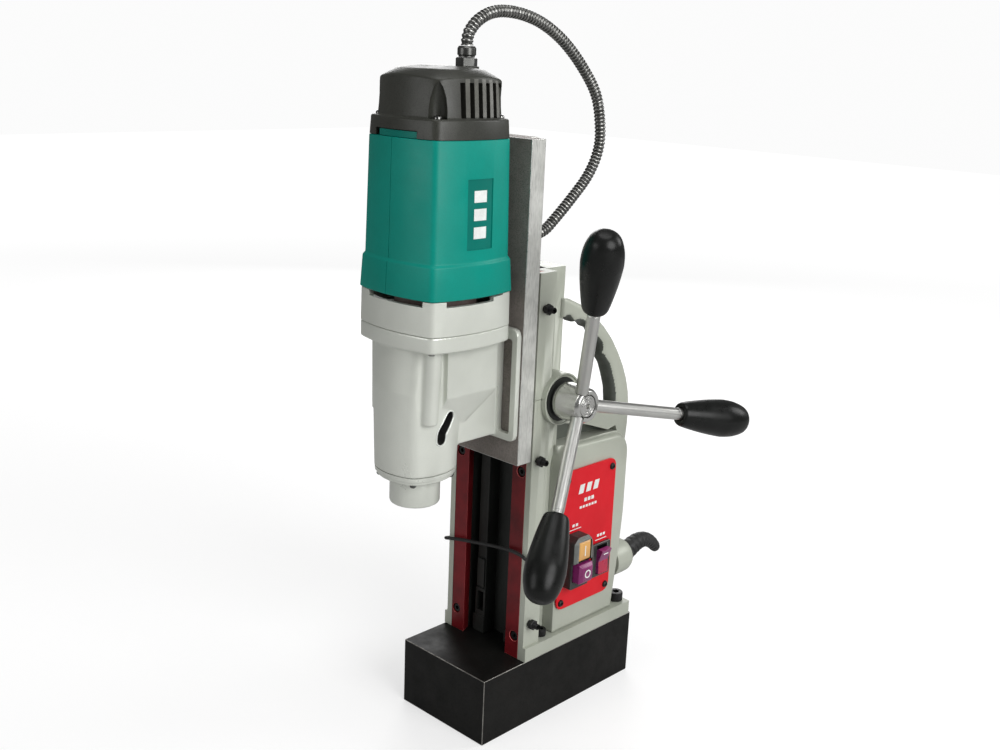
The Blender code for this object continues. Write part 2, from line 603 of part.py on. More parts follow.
# ---- slide, rack and gearbox --------------------------------------------------------------
def slide():
    low, high = SLIDE_Z
    plate = box("slide_plate", (-SLIDE_HALF, SLIDE_FRONT, low), (SLIDE_HALF, SLIDE_BACK, high),
                "slide_steel")
    spread = TONGUE_HALF + DOVETAIL * (TONGUE_BACK - SLIDE_BACK)
    tongue = [(-TONGUE_HALF, SLIDE_BACK - 2), (TONGUE_HALF, SLIDE_BACK - 2),
              (TONGUE_HALF, SLIDE_BACK), (spread, TONGUE_BACK), (-spread, TONGUE_BACK),
              (-TONGUE_HALF, SLIDE_BACK)]
    unite(plate, outline("tongue", tongue, "Z", low, high))

    pitch = pi * RACK_MODULE
    tip, root = RACK_PITCH_Y + 0.9 * RACK_MODULE, RACK_PITCH_Y - 1.15 * RACK_MODULE
    slope = tan(radians(20))
    half = 0.22 * pitch
    half_tip, half_root = half - 0.9 * RACK_MODULE * slope, half + 1.15 * RACK_MODULE * slope
    back = TONGUE_BACK + GAP
    first = ceil((low + 6 - HUB_Z) / pitch)
    last = int((high - 6 - HUB_Z) / pitch)
    teeth = []
    for i in range(first, last):
        z = HUB_Z + (i + 0.5) * pitch
        teeth += [(root, z - half_root), (tip, z - half_tip), (tip, z + half_tip),
                  (root, z + half_root)]
    ends = [(root, low + 4), *teeth, (root, high - 4), (back, high - 4), (back, low + 4)]
    outline("feed_rack", ends, "X", -9.0, 9.0, "steel")


def gearbox():
    body = loft("gearbox_housing", [
        bowed_square(38.8, BULGE, FLANGE_Z[1], MOTOR_Y),
        bowed_square(38.8, BULGE, FLANGE_Z[0] + 1, MOTOR_Y),
        bowed_square(37.4, BULGE, FLANGE_Z[0], MOTOR_Y)], "silver_paint")
    unite(body, loft("spindle_housing", [
        bowed_square(24.4, 6.0, FLANGE_Z[0] + 4, SPINDLE_Y - 0.2, corner=5),
        bowed_square(22.8, 6.0, BODY_Z, SPINDLE_Y, corner=5)]))
    shoulder = [[(34, -137, z), (34, -82, z), (25, -67.5, z), (-25, -67.5, z), (-34, -82, z),
                 (-34, -137, z)] for z in (FLANGE_Z[0] + 4, 301.0)]
    shoulder.append([(24.2, -134, 282), (24.2, -103.5, 275.7), (24.1, -67.8, 299),
                     (-24.1, -67.8, 299), (-24.2, -103.5, 275.7), (-24.2, -134, 282)])
    unite(body, loft("gear_shoulder", shoulder))
    unite(body, rods("screw_bosses", [((sx * 26.5, -144.3, 281), (sx * 28, -144.3, 342), 6.2)
                                      for sx in (-1, 1)], 16))
    unite(body, box("rear_web", (-24.0, -120, 258.5), (24.0, -66.2, 300.5)))
    unite(body, box("mounting_plate", (-41, -69, 256), (41, SLIDE_FRONT - GAP, 347)))
    cut(body, boxes("plate_windows", [((sx * 36 if sx < 0 else 26, -80, 263),
                                       (-26 if sx < 0 else 36, -60, 337)) for sx in (-1, 1)]))
    cut(body, rods("spindle_bores", [((0, SPINDLE_Y, 200), (0, SPINDLE_Y, 254), 20.6),
                                     ((0, SPINDLE_Y, 256), (0, SPINDLE_Y, 330), 17.5)], 24))
    cut(body, rod("spindle_neck", (0, SPINDLE_Y, 253), (0, SPINDLE_Y, 257), 16.5, sides=24))
    cut(body, loft("gear_room", [bowed_square(34.5, BULGE, 360, MOTOR_Y, corner=6),
                                 bowed_square(34.5, BULGE, 340.4, MOTOR_Y, corner=6)]))
    cut(body, rod("journal_room", (0, SPINDLE_Y, 325), (0, SPINDLE_Y, 345), 16.0, sides=24))
    slot = boxes("drift_window", [((15, -129.6, 263.6), (45, -120.8, 287.5))])
    cut(body, slot)
    cover = loft("gearbox_cover", [bowed_square(22.0, 6.0, BODY_Z - GAP, SPINDLE_Y, corner=5),
                                   bowed_square(21.0, 6.0, COVER_Z, SPINDLE_Y, corner=5)],
                 "silver_paint")
    cut(cover, rod("cover_hole", (0, SPINDLE_Y, 220), (0, SPINDLE_Y, 250), 15.4, sides=24))
    turned("spindle_bearing", [(20.3, 11.0), (20.3, 0), (14.8, 0), (14.8, 11.0)],
           (0, SPINDLE_Y, 241.0), (0, 0, 1), "steel", 20)


# ---- motor -------------------------------------------------------------------------------
def motor_shells():
    low, high = FRAME_Z
    frame = loft("motor_end_frame", [bowed_square(40.1, BULGE, high, MOTOR_Y),
                                     bowed_square(40.4, BULGE, low, MOTOR_Y)], "silver_paint")
    cut(frame, loft("fan_room", [bowed_square(36.0, BULGE, high + 9, MOTOR_Y, corner=6),
                                 bowed_square(36.0, BULGE, 365.0, MOTOR_Y, corner=6)]))
    cut(frame, loft("train_room", [bowed_square(34.5, BULGE, 361.0, MOTOR_Y, corner=6),
                                   bowed_square(34.5, BULGE, low - 9, MOTOR_Y, corner=6)]))
    cut(frame, rod("shaft_hole", (0, MOTOR_Y, 350), (0, MOTOR_Y, 370), 5.2, sides=16))
    cut(frame, boxes("air_vents", [
        ((-28, MOTOR_Y - 60, high - 4.8), (28, MOTOR_Y + 60, high + 5))]))
    cut(frame, boxes("side_air_vents", [
        ((-60, MOTOR_Y - 28, high - 4.8), (60, MOTOR_Y + 28, high + 5))]))

    inner = [(34.6, CAP_Z - GAP), (34.6, 404.0), (37.0, 400.0), (37.4, SKIRT_Z)]
    outer = [(40.9, SKIRT_Z), (39.7, 402.4), (38.0, 404.2), (36.8, CAP_Z - GAP)]
    rings = [bowed_square(half, BULGE, z, MOTOR_Y) for half, z in inner + outer]
    loft("motor_housing", rings, "teal_plastic", hollow=True)

    outer = [(20.0, CAP_TOP - 0.8), (29.4, CAP_TOP - 5), (31.9, CAP_TOP - 10), (33.7, 506.0),
             (36.0, 504.6), (36.8, CAP_Z)]
    inner = [(34.2, CAP_Z), (33.6, 502.0), (31.4, 504.0), (29.6, 529.5), (25.0, 534.0)]
    rings = [bowed_square(half, BULGE * min(1, half / 33), z, MOTOR_Y, corner=min(7, half / 4))
             for half, z in outer + inner]
    cap = loft("top_cap", rings, "cap_plastic")
    for side, low, high in (("right", 25, 50), ("left", -50, -25)):
        middles = [-128.5 + 8.0 * i for i in range(6)]
        cut(cap, boxes("cap_vents_" + side, [((low, y - 2.1, 505.6), (high, y + 2.1, 529.6))
                                             for y in middles]))
    cut(cap, rod("gland_hole", (0, GLAND_Y, 520), (0, GLAND_Y, 550), 4.3, sides=12))
    turned("stator", [(34.0, 50.0), (34.0, 0), (20.6, 0), (20.6, 50.0)],
           (0, MOTOR_Y, 411.0), (0, 0, 1), "slide_steel", 24)
    for side, sx in (("left", -1), ("right", 1)):
        x0, x1 = sorted((sx * 11.6, sx * 24.0))
        box("brush_" + side, (x0, MOTOR_Y - 4, 470), (x1, MOTOR_Y + 4, 479), "carbon")


def glands():
    upper = rod("conduit_gland_upper", (0, GLAND_Y, 541.6), (0, GLAND_Y, 546.6), 8.3,
                "conduit_metal", sides=6)
    unite(upper, rod("upper_collar", (0, GLAND_Y, 546.0), (0, GLAND_Y, 554.7), 7.2, sides=12))
    lower = rod("conduit_gland_lower", (0, COLUMN_GLAND_Y, COLUMN_TOP + GAP),
                (0, COLUMN_GLAND_Y, COLUMN_TOP + 6), 8.3, "conduit_metal", sides=6)
    unite(lower, rod("lower_collar", (0, COLUMN_GLAND_Y, COLUMN_TOP + 5),
                     (0, COLUMN_GLAND_Y, 399.1), 7.2, sides=12))


def cords():
    route = smooth_route([(0, y, z) for y, z in CONDUIT_ROUTE], 11)
    tube("motor_conduit", route, CONDUIT_R, "conduit_metal", 2)
    tube("tie_cord", smooth_route(CORD_ROUTE, 8), CORD_R, "rubber", 2)


# ---- drive train -------------------------------------------------------------------------
FAST_MODULE, SLOW_MODULE = 1.0, 1.25
ARMATURE_TEETH, BIG_TEETH, SMALL_TEETH, SPINDLE_TEETH = 8, 26, 10, 33


def lay_shaft_place():
    """Where the intermediate gear sits, in mesh with both of its neighbours."""
    near = FAST_MODULE * (ARMATURE_TEETH + BIG_TEETH) / 2
    far = SLOW_MODULE * (SMALL_TEETH + SPINDLE_TEETH) / 2
    span = MOTOR_Y - SPINDLE_Y
    towards = (near * near - far * far + span * span) / (2 * span)
    return sqrt(near * near - towards * towards), MOTOR_Y - towards


def drive_train():
    x, y = lay_shaft_place()
    to_armature = atan2(MOTOR_Y - y, -x)
    to_spindle = atan2(SPINDLE_Y - y, -x)

    shaft = turned("armature", [
        (0, 498), (4.0, 498), (4.0, 483), (11.0, 483), (11.0, 467), (4.0, 467), (4.0, 459),
        (19.6, 459), (19.6, 412), (4.0, 412), (4.0, 361), (2.6, 361), (2.6, 353), (0, 353)],
        (0, MOTOR_Y, 0), (0, 0, 1), "steel", 16)
    gap_turn = to_armature + pi + pi / ARMATURE_TEETH
    teeth = gear_outline(ARMATURE_TEETH, FAST_MODULE, (0, MOTOR_Y), gap_turn, 0.42)
    unite(shaft, outline("armature_teeth", teeth, "Z", 353.5, 360.5))

    blades = 8
    fan = turned("cooling_fan", [(31.5, 368.6), (31.5, 367.0), (4.3, 367.0), (4.3, 376.0),
                                 (9.0, 376.0), (9.0, 368.6)],
                 (0, MOTOR_Y, 0), (0, 0, 1), "switch_black", 20)
    shape = bmesh.new()
    for i in range(blades):
        a = 2 * pi * i / blades
        place = (Matrix.Translation((0, MOTOR_Y * MM, 0)) @ Matrix.Rotation(a, 4, "Z")
                 @ Matrix.Translation((20.0 * MM, 0, 371.8 * MM)) @ Matrix.Rotation(0.4, 4, "Z")
                 @ Matrix.Diagonal((20.0 * MM, 1.4 * MM, 8.0 * MM, 1)))
        bmesh.ops.create_cube(shape, size=1.0, matrix=place)
    unite(fan, from_bmesh("fan_blades", shape))

    big = gear_outline(BIG_TEETH, FAST_MODULE, (x, y), to_armature, 0.42)
    small = gear_outline(SMALL_TEETH, SLOW_MODULE, (x, y), to_spindle, 0.42)
    lay = outline("intermediate_gear", big, "Z", 354.0, 359.6, "steel")
    unite(lay, outline("small_teeth", small, "Z", 341.4, 355.0))

    gap_turn = to_spindle + pi + pi / SPINDLE_TEETH
    ring = gear_outline(SPINDLE_TEETH, SLOW_MODULE, (0, SPINDLE_Y), gap_turn, 0.42)
    wheel = outline("spindle_gear", ring, "Z", 342.0, 350.0, "steel")
    cut(wheel, rod("wheel_bore", (0, SPINDLE_Y, 330), (0, SPINDLE_Y, 360), 10.3, sides=24))
    spindle = turned("spindle", [
        (0, 350.6), (10.0, 350.6), (10.0, 340.0), (14.5, 340.0), (14.5, 232.6), (19.7, 232.6),
        (19.7, NOSE_Z + 1.2), (18.5, NOSE_Z), (8.9, NOSE_Z), (7.4, 282.0), (0, 282.0)],
        (0, SPINDLE_Y, 0), (0, 0, 1), "silver_paint", 24)
    cut(spindle, box("drift_slot", (-30, SPINDLE_Y - 3.2, 268), (30, SPINDLE_Y + 3.2, 291)))


magnet()
column()
gib_strips()
fasteners()
shaft_supports()
rear_housing()
switch_panel()
motor_switch()
magnet_switch()
electrics()
feed_handle()
slide()
gearbox()
motor_shells()
glands()
cords()
drive_train()
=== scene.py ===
"""The looks of the magnetic drill press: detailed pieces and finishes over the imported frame.

Lengths are in millimetres, in the frame's own axes: +Z up, -Y to the front, +X to the feed
handle's side. Places come from the boxes of the frame's nodes. Each section makes one region's
pieces, rides them on their bodies and says which nodes they stand for.
"""

from math import cos, pi, radians, sin, sqrt

import bmesh
import bpy
from mathutils import Matrix, Vector
from mathutils.bvhtree import BVHTree


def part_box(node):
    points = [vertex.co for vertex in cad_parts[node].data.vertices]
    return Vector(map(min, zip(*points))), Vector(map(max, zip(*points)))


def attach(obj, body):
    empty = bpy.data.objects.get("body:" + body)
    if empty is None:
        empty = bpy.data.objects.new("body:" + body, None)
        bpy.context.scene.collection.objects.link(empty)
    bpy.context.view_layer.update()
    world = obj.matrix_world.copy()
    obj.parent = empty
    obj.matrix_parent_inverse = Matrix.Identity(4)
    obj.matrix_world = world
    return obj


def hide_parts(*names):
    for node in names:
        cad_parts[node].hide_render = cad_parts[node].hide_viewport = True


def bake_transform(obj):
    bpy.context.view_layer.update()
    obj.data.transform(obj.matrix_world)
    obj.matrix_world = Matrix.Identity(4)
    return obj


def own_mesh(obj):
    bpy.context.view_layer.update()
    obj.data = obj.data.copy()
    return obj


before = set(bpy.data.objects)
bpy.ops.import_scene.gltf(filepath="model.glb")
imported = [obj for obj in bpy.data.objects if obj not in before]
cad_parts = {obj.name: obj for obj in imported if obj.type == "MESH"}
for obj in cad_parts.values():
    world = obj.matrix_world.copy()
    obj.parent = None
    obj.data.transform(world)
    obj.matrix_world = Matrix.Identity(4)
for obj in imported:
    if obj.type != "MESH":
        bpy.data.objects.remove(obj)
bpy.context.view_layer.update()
MM = 0.001
X, Y, Z = Vector((1, 0, 0)), Vector((0, 1, 0)), Vector((0, 0, 1))


def span(node):
    """The lowest and highest corner of a node at rest, in millimetres."""
    low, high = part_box(node)
    return low / MM, high / MM


def centre(node):
    low, high = span(node)
    return (low + high) / 2


# ---- materials ---------------------------------------------------------------------------------
def add(tree, kind, inputs=None, **settings):
    """Adds a shader node, sets it up, and links or fills its inputs."""
    node = tree.nodes.new("ShaderNode" + kind)
    for name, value in settings.items():
        setattr(node, name, value)
    for name, value in (inputs or {}).items():
        socket = node.inputs[name]
        if isinstance(value, bpy.types.NodeSocket):
            tree.links.new(value, socket)
        else:
            socket.default_value = value
    return node


def noise(tree, place, scale, detail=4, rough=0.6):
    inputs = {"Vector": place, "Scale": scale, "Detail": detail, "Roughness": rough}
    return add(tree, "TexNoise", inputs).outputs["Fac"]


def remap(tree, value, low, high, to_low=0, to_high=1):
    inputs = {"Value": value, "From Min": low, "From Max": high, "To Min": to_low,
        "To Max": to_high}
    return add(tree, "MapRange", inputs).outputs["Result"]


def mixed(tree, factor, first, second):
    """A colour between two; each is a colour or another node's output."""
    inputs = {0: factor}
    for index, colour in ((6, first), (7, second)):
        inputs[index] = colour if isinstance(colour, bpy.types.NodeSocket) else (*colour, 1)
    return add(tree, "Mix", inputs, data_type="RGBA").outputs[2]


FINISH = {}


def surface(name, rough, metallic, colour, tint=None, patch=14, grain=900, depth=0.02, brushed=None,
        coat=0, speckle=0.12, shine=0.4, wear=0.2):
    """A worked-up finish. Broad patches drift from colour to tint, fine grain of the given
    frequency per metre stands depth millimetres high and speckles the colour, brushed
    stretches the grain along an axis, and wear is how far the roughness drifts."""
    made = bpy.data.materials.new(name)
    made.use_nodes = True
    tree = made.node_tree
    shader = tree.nodes["Principled BSDF"]
    place = add(tree, "TexCoord").outputs["Object"]
    fine_place = place
    if brushed:
        fine_place = add(tree, "Mapping", {"Vector": place, "Scale": brushed}).outputs["Vector"]
    tint = tint or tuple(c * 0.78 for c in colour)
    broad = noise(tree, place, patch)
    fine = noise(tree, fine_place, grain, detail=2, rough=0.5)
    base = mixed(tree, remap(tree, broad, 0.35, 0.68), colour, tint)
    dark = tuple(c * (1 - speckle) ** 3 for c in colour)
    base = mixed(tree, remap(tree, fine, 0.45, 0.75, 0, speckle * 3), base, dark)
    tree.links.new(base, shader.inputs["Base Color"])
    shader.inputs["Metallic"].default_value = metallic
    worn = noise(tree, place, patch * 3.1)
    tree.links.new(remap(tree, worn, 0.3, 0.7, rough * (1 - wear), rough * (1 + wear)),
        shader.inputs["Roughness"])
    if depth:
        bump = add(tree, "Bump", {"Height": fine, "Strength": 0.6, "Distance": depth * MM})
        tree.links.new(bump.outputs["Normal"], shader.inputs["Normal"])
    shader.inputs["Specular IOR Level"].default_value = shine
    shader.inputs["Coat Weight"].default_value = coat
    shader.inputs["Coat Roughness"].default_value = 0.18
    FINISH[name] = made


# name, roughness, metal, colour, the tint it drifts to, patches and grain per metre, grain height
# a pale silver painted highlight, for the bright line round the drift slot
surface("silver_edge", 0.3, 0.3, (0.8, 0.83, 0.78), (0.7, 0.73, 0.68), 60, 1800, 0)
surface("spoke_steel", 0.33, 1, (0.62, 0.62, 0.595), (0.54, 0.54, 0.52), 30, 1700, 0, speckle=0.03,
    wear=0.03)
# pale steel painted highlight for the slide plate's rounded edges
surface("slide_painted_highlight", 0.3, 0.9, (0.7, 0.7, 0.67), (0.5, 0.5, 0.48), 60)
# lighter grey painted highlight for the switches' rounded edges and the hood's front rim
surface("switch_grey", 0.35, 0, (0.17, 0.18, 0.17), (0.12, 0.13, 0.12), 90)
surface("stop_red", 0.3, 0, (0.42, 0.012, 0.04), (0.3, 0.01, 0.06), 90, 2500, coat=0.3)
surface("screw_bright", 0.16, 1, (0.12, 0.12, 0.115), (0.3, 0.3, 0.29), 200, 2500, 0)
# lighter cap colour for the vent ribs: a painted highlight
surface("cap_rib", 0.33, 0, (0.12, 0.12, 0.105), (0.085, 0.085, 0.074), 60, 1800, 0.02, speckle=0.2)
surface("fan_brown", 0.4, 0, (0.16, 0.115, 0.1), (0.24, 0.2, 0.19), 60, 1500, coat=0.2)
surface("magnet_black", 0.5, 0, (0.005, 0.005, 0.0045), (0.01, 0.0095, 0.0085), 22, 700, 0.03,
    speckle=0.25, shine=0.16)
# lighter metal on the base's rounded edges: partly real wear, partly a painted highlight on the
# chamfers
surface("worn_edge", 0.35, 0.9, (0.42, 0.41, 0.38), (0.16, 0.15, 0.14), 60, 1500)
surface("casting_paint", 0.42, 0.12, (0.43, 0.45, 0.385), (0.36, 0.38, 0.32), 9, 1300, 0.025,
    speckle=0.08, coat=0.15)
# darker paint for the recess under the handle's neck: painted shade
surface("casting_painted_shade", 0.5, 0.1, (0.14, 0.155, 0.13), (0.11, 0.12, 0.1), 12, 1300, 0.03)
# near-black for the handle's inner faces: painted shade
surface("grip_painted_shade", 0.5, 0, (0.045, 0.05, 0.043), (0.1, 0.11, 0.095), 30, 1300, 0.03)
# pale metal on the conduit's ring crests: a painted highlight
surface("conduit_painted_highlight", 0.28, 1, (0.34, 0.34, 0.32), (0.28, 0.28, 0.27), 70, 1500, 0)
# near-black: the bare casting's own black, darkened further as painted shade in the column's
# channel
surface("casting_dark", 0.5, 0.2, (0.02, 0.022, 0.02), (0.01, 0.011, 0.01), 14, 1100, 0.03)
surface("strip_red", 0.38, 0.2, (0.2, 0.009, 0.013), (0.085, 0.006, 0.008), 30, 1500,
    brushed=(1, 1, 0.06), shine=0.3)
# bright red painted highlight for the gib strips' rounded edges
surface("strip_edge", 0.3, 0.2, (0.88, 0.2, 0.19), None, 40)
surface("screw_black", 0.36, 0.6, (0.014, 0.014, 0.014), (0.03, 0.03, 0.03), 200, 2500, 0.01)
surface("slide_front", 0.6, 0.1, (0.285, 0.255, 0.235), (0.2, 0.178, 0.162), 30, 1300, speckle=0.3,
    shine=0.2)
surface("slide_side", 0.4, 0.4, (0.66, 0.665, 0.63), (0.5, 0.505, 0.475), 45, 900,
    brushed=(1, 1, 0.15), speckle=0.2)
surface("steel", 0.22, 1, (0.62, 0.62, 0.6), (0.5, 0.5, 0.48), 30, 2200, 0, speckle=0.03, wear=0.03)
# dark dull steel for bare steel parts; on the drift slot's walls it is painted shade
surface("steel_dull", 0.42, 0.85, (0.16, 0.16, 0.155), (0.1, 0.1, 0.095), 50, 1500)
surface("knob_plastic", 0.32, 0, (0.0045, 0.005, 0.0045), (0.008, 0.0085, 0.008), 40, 1600, 0.012,
    shine=0.22)
surface("silver_paint", 0.34, 0.25, (0.68, 0.7, 0.64), (0.57, 0.59, 0.535), 10, 1800, 0.018,
    speckle=0.08, coat=0.25)
surface("teal_plastic", 0.42, 0, (0, 0.255, 0.2), (0, 0.215, 0.168), 12, 800, 0.07, speckle=0.1,
    shine=0.2)
surface("teal_dark", 0.42, 0, (0, 0.17, 0.135), None, 14, 1500, shine=0.2)
surface("print_white", 0.4, 0, (0.78, 0.8, 0.78), (0.68, 0.7, 0.68), 90)
surface("cap_plastic", 0.36, 0, (0.046, 0.047, 0.039), (0.03, 0.031, 0.026), 16, 1500, 0.06,
    speckle=0.3, shine=0.3)
surface("panel_red", 0.42, 0, (0.62, 0.009, 0.018), (0.54, 0.007, 0.014), 20, 1500, 0.01,
    speckle=0.05, shine=0.2)
surface("switch_black", 0.38, 0, (0.022, 0.024, 0.023), (0.034, 0.036, 0.034), 60, 2200)
surface("start_amber", 0.34, 0, (0.68, 0.37, 0.11), (0.6, 0.31, 0.08), 90, 2500, coat=0.3)
surface("stop_purple", 0.32, 0, (0.24, 0.017, 0.135), (0.16, 0.01, 0.09), 90, 2500, coat=0.3)
surface("rubber", 0.55, 0, (0.012, 0.012, 0.012), (0.02, 0.02, 0.02), 60, 1800)
surface("conduit_metal", 0.3, 0.8, (0.075, 0.076, 0.072), (0.13, 0.13, 0.125), 70, 1500)
surface("copper", 0.35, 1, (0.55, 0.21, 0.09), (0.4, 0.14, 0.06), 14, 1500, brushed=(1, 0.05, 1))
surface("potting", 0.5, 0, (0.035, 0.036, 0.042), None, 30, 600)
surface("board_green", 0.45, 0, (0.015, 0.13, 0.05), None, 14, 1500)
surface("carbon", 0.6, 0.2, (0.02, 0.02, 0.02), None, 14, 2500)


# ---- modelling helpers -------------------------------------------------------------------------
def keep(name, data, *finishes):
    """A new object in the scene, with its finishes by name."""
    made = bpy.data.objects.new(name, data)
    bpy.context.scene.collection.objects.link(made)
    for finish in finishes:
        data.materials.append(FINISH[finish])
    return made


def shade(mesh, angle=32):
    mesh.shade_smooth()
    mesh.set_sharp_from_angle(angle=radians(angle))


def from_bmesh(name, shape, *finishes):
    bmesh.ops.recalc_face_normals(shape, faces=shape.faces)
    mesh = bpy.data.meshes.new(name)
    shape.to_mesh(mesh)
    shape.free()
    shade(mesh)
    return keep(name, mesh, *finishes)


def settle(piece, angle=32):
    """Applies a piece's modifiers, and sets again which of its edges are sharp."""
    graph = bpy.context.evaluated_depsgraph_get()
    mesh = bpy.data.meshes.new_from_object(piece.evaluated_get(graph))
    piece.modifiers.clear()
    piece.data = mesh
    shade(mesh, angle)
    return piece


def boolean(target, tool, operation="DIFFERENCE"):
    """Cuts or joins at once, and uses the tool up."""
    step = target.modifiers.new(operation.lower(), "BOOLEAN")
    step.operation = operation
    step.object = tool
    step.solver = "EXACT"
    settle(target)
    bpy.data.objects.remove(tool, do_unlink=True)
    return target


def cut(target, *tools):
    for tool in tools:
        boolean(target, tool)
    return target


def unite(target, *tools):
    for tool in tools:
        boolean(target, tool, "UNION")
    return target


def gather(target, *tools):
    """Puts solids into one mesh as they are, for cast to melt together."""
    shape = bmesh.new()
    shape.from_mesh(target.data)
    for tool in tools:
        shape.from_mesh(tool.data)
        bpy.data.objects.remove(tool, do_unlink=True)
    shape.to_mesh(target.data)
    shape.free()
    return target


def soften(piece, width, segments=2, edge_slot=-1, angle=32):
    """Rounds the edges; edge_slot is the finish that the rounded strips take."""
    step = piece.modifiers.new("edges", "BEVEL")
    step.width = width * MM
    step.segments = segments
    step.limit_method = "ANGLE"
    step.angle_limit = radians(angle)
    step.material = edge_slot
    step.harden_normals = segments > 1
    return piece


def skin(shape, one, two):
    """Faces between two loops of points, either of which may be a single point."""
    count = max(len(one), len(two))
    for i in range(count):
        j = (i + 1) % count
        corners = [one[i % len(one)], one[j % len(one)], two[j % len(two)], two[i % len(two)]]
        corners = list(dict.fromkeys(corners))
        shape.faces.new(corners)


def loft(name, rings, *finishes, hollow=False):
    """A solid through rings of points. A hollow one's last ring meets its first."""
    shape = bmesh.new()
    loops = [[shape.verts.new(Vector(p) * MM) for p in ring] for ring in rings]
    for one, two in zip(loops, loops[1:]):
        skin(shape, one, two)
    if hollow:
        skin(shape, loops[-1], loops[0])
    else:
        for end in (loops[0], loops[-1]):
            if len(end) > 2:
                shape.faces.new(end)
    return from_bmesh(name, shape, *finishes)


def hull(name, points, *finishes):
    """The smallest convex solid round some points."""
    shape = bmesh.new()
    corners = [shape.verts.new(Vector(p) * MM) for p in points]
    bmesh.ops.convex_hull(shape, input=corners)
    bmesh.ops.dissolve_limit(shape, angle_limit=radians(0.5), verts=shape.verts, edges=shape.edges)
    return from_bmesh(name, shape, *finishes)


def inset(points, width):
    """A closed outline moved in by the same width all round."""
    points = [Vector(p) for p in points]
    turning = sum(a.cross(b) for a, b in zip(points, points[1:] + points[:1]))
    sign, moved = (1 if turning > 0 else -1), []
    for before, here, after in zip(points[-1:] + points[:-1], points, points[1:] + points[:1]):
        along = (after - before).normalized()
        moved.append(tuple(here + sign * width * Vector((-along.y, along.x))))
    return moved


def circle(place, along, side, radius, sides):
    """Points round a place, across the direction along. A radius may depend on the angle."""
    side = side.normalized()
    over = along.cross(side)
    ring = []
    for a in (2 * pi * k / sides for k in range(sides)):
        reach = radius(a) if callable(radius) else radius
        ring.append(place + (side * cos(a) + over * sin(a)) * reach)
    return ring


def lathe(name, profile, origin, direction, *finishes, sides=48, hollow=False, phase=0):
    """A turned piece from (radius, height) points, about a line through origin."""
    turn, rings = Z.rotation_difference(Vector(direction)).to_matrix(), []
    for radius, height in profile:
        count = sides if radius > 0 else 1
        angles = [phase + 2 * pi * i / count for i in range(count)]
        rings.append([Vector(origin) + turn @ Vector((radius * cos(a), radius * sin(a), height))
            for a in angles])
    return loft(name, rings, *finishes, hollow=hollow)


def rounded(points, radius, steps=3, closed=False):
    """A polyline with its corners turned into short arcs."""
    points = [Vector(p) for p in points]
    count, made = len(points), []
    for i, here in enumerate(points):
        if not closed and i in (0, count - 1):
            made.append(here)
            continue
        before, after = points[i - 1] - here, points[(i + 1) % count] - here
        reach = min(radius, 0.45 * before.length, 0.45 * after.length)
        start, end = here + before.normalized() * reach, here + after.normalized() * reach
        for k in range(steps + 1):
            t = k / steps
            made.append(start * (1 - t) ** 2 + here * 2 * t * (1 - t) + end * t * t)
    return [tuple(p) for p in made]


def level(points, axis, at):
    """A flat ring at one place along an axis, from (y, z), (x, z) or (x, y) points."""
    order = {"X": "auv", "Y": "uav", "Z": "uva"}[axis]
    return [tuple({"a": at, "u": u, "v": v}[c] for c in order) for u, v in points]


def prism(name, points, axis, low, high, *finishes):
    """An outline extruded along an axis."""
    return loft(name, [level(points, axis, low), level(points, axis, high)], *finishes)


def box_line(u0, v0, u1, v1):
    return [(u0, v0), (u1, v0), (u1, v1), (u0, v1)]


def bore(y, low, high, radius):
    """An upright round cutter in the middle plane."""
    return rod("bore", (0, y, low), (0, y, high), radius)


def block(name, low, high, *finishes):
    (x0, y0, z0), (x1, y1, z1) = low, high
    return prism(name, box_line(x0, y0, x1, y1), "Z", z0, z1, *finishes)


def rod(name, start, end, radius, *finishes, sides=40, phase=0):
    start, along = Vector(start), Vector(end) - Vector(start)
    return lathe(name, [(radius, 0), (radius, along.length)], start, along, *finishes, sides=sides,
        phase=phase)


def bowed(half, bulge, z, middle_y, corner=5.3, side_steps=14, corner_steps=5):
    """A square's outline at height z, whose sides bow out and whose corners are round."""
    radius = (half * half + bulge * bulge) / (2 * bulge)
    reach = half - corner

    def out_at(along):
        return half + bulge - radius + sqrt(radius * radius - along * along)

    quarter = []
    for i in range(side_steps + 1):
        along = reach * (2 * i / side_steps - 1)
        quarter.append((out_at(along), along))
    out, fall = out_at(reach), out_at(reach) - half - bulge + radius
    knot = out - reach * (out - reach) / (fall + reach)
    for i in range(1, corner_steps):
        t = i / corner_steps
        a, b, c = (1 - t) ** 2, 2 * t * (1 - t), t * t
        quarter.append((a * out + b * knot + c * reach, a * reach + b * knot + c * out))
    ring = []
    for turn in range(4):
        c, s = cos(turn * pi / 2), sin(turn * pi / 2)
        ring += [(x * c - y * s, middle_y + x * s + y * c, z) for x, y in quarter]
    return ring


def bowed_stack(name, profile, bulge, middle_y, *finishes, corner=5.3, soft=0.8, hollow=False):
    """A shell or solid of bowed squares from (half width, height) points, with soft edges."""
    line = rounded(profile, soft, closed=hollow)
    rings = [bowed(half, bulge, z, middle_y, corner=min(corner, half * 0.3)) for half, z in line]
    return loft(name, rings, *finishes, hollow=hollow)


def smooth_route(points, spacing):
    """Points about spacing apart along a smooth curve through the given ones."""
    ends = [Vector(p) for p in points]
    ends = [ends[0] * 2 - ends[1], *ends, ends[-1] * 2 - ends[-2]]
    route = []
    for a, b, c, d in zip(ends, ends[1:], ends[2:], ends[3:]):
        steps = max(1, round((c - b).length / spacing))
        for i in range(steps):
            t = i / steps
            route.append(0.5 * (2 * b + (c - a) * t + (2 * a - 5 * b + 4 * c - d) * t * t
                + (3 * b - a - 3 * c + d) * t * t * t))
    return [*route, ends[-2]]


def swept(name, route, section, *finishes):
    """A bar along a route; section(share, angle) gives its radius, from the side near X round."""
    rings, last = [], len(route) - 1
    for i, place in enumerate(route):
        along = (route[min(i + 1, last)] - route[max(i - 1, 0)]).normalized()
        rings.append(circle(place, along, X - along * X.dot(along),
            lambda angle: section(i / last, angle), 24))
    return loft(name, rings, *finishes)


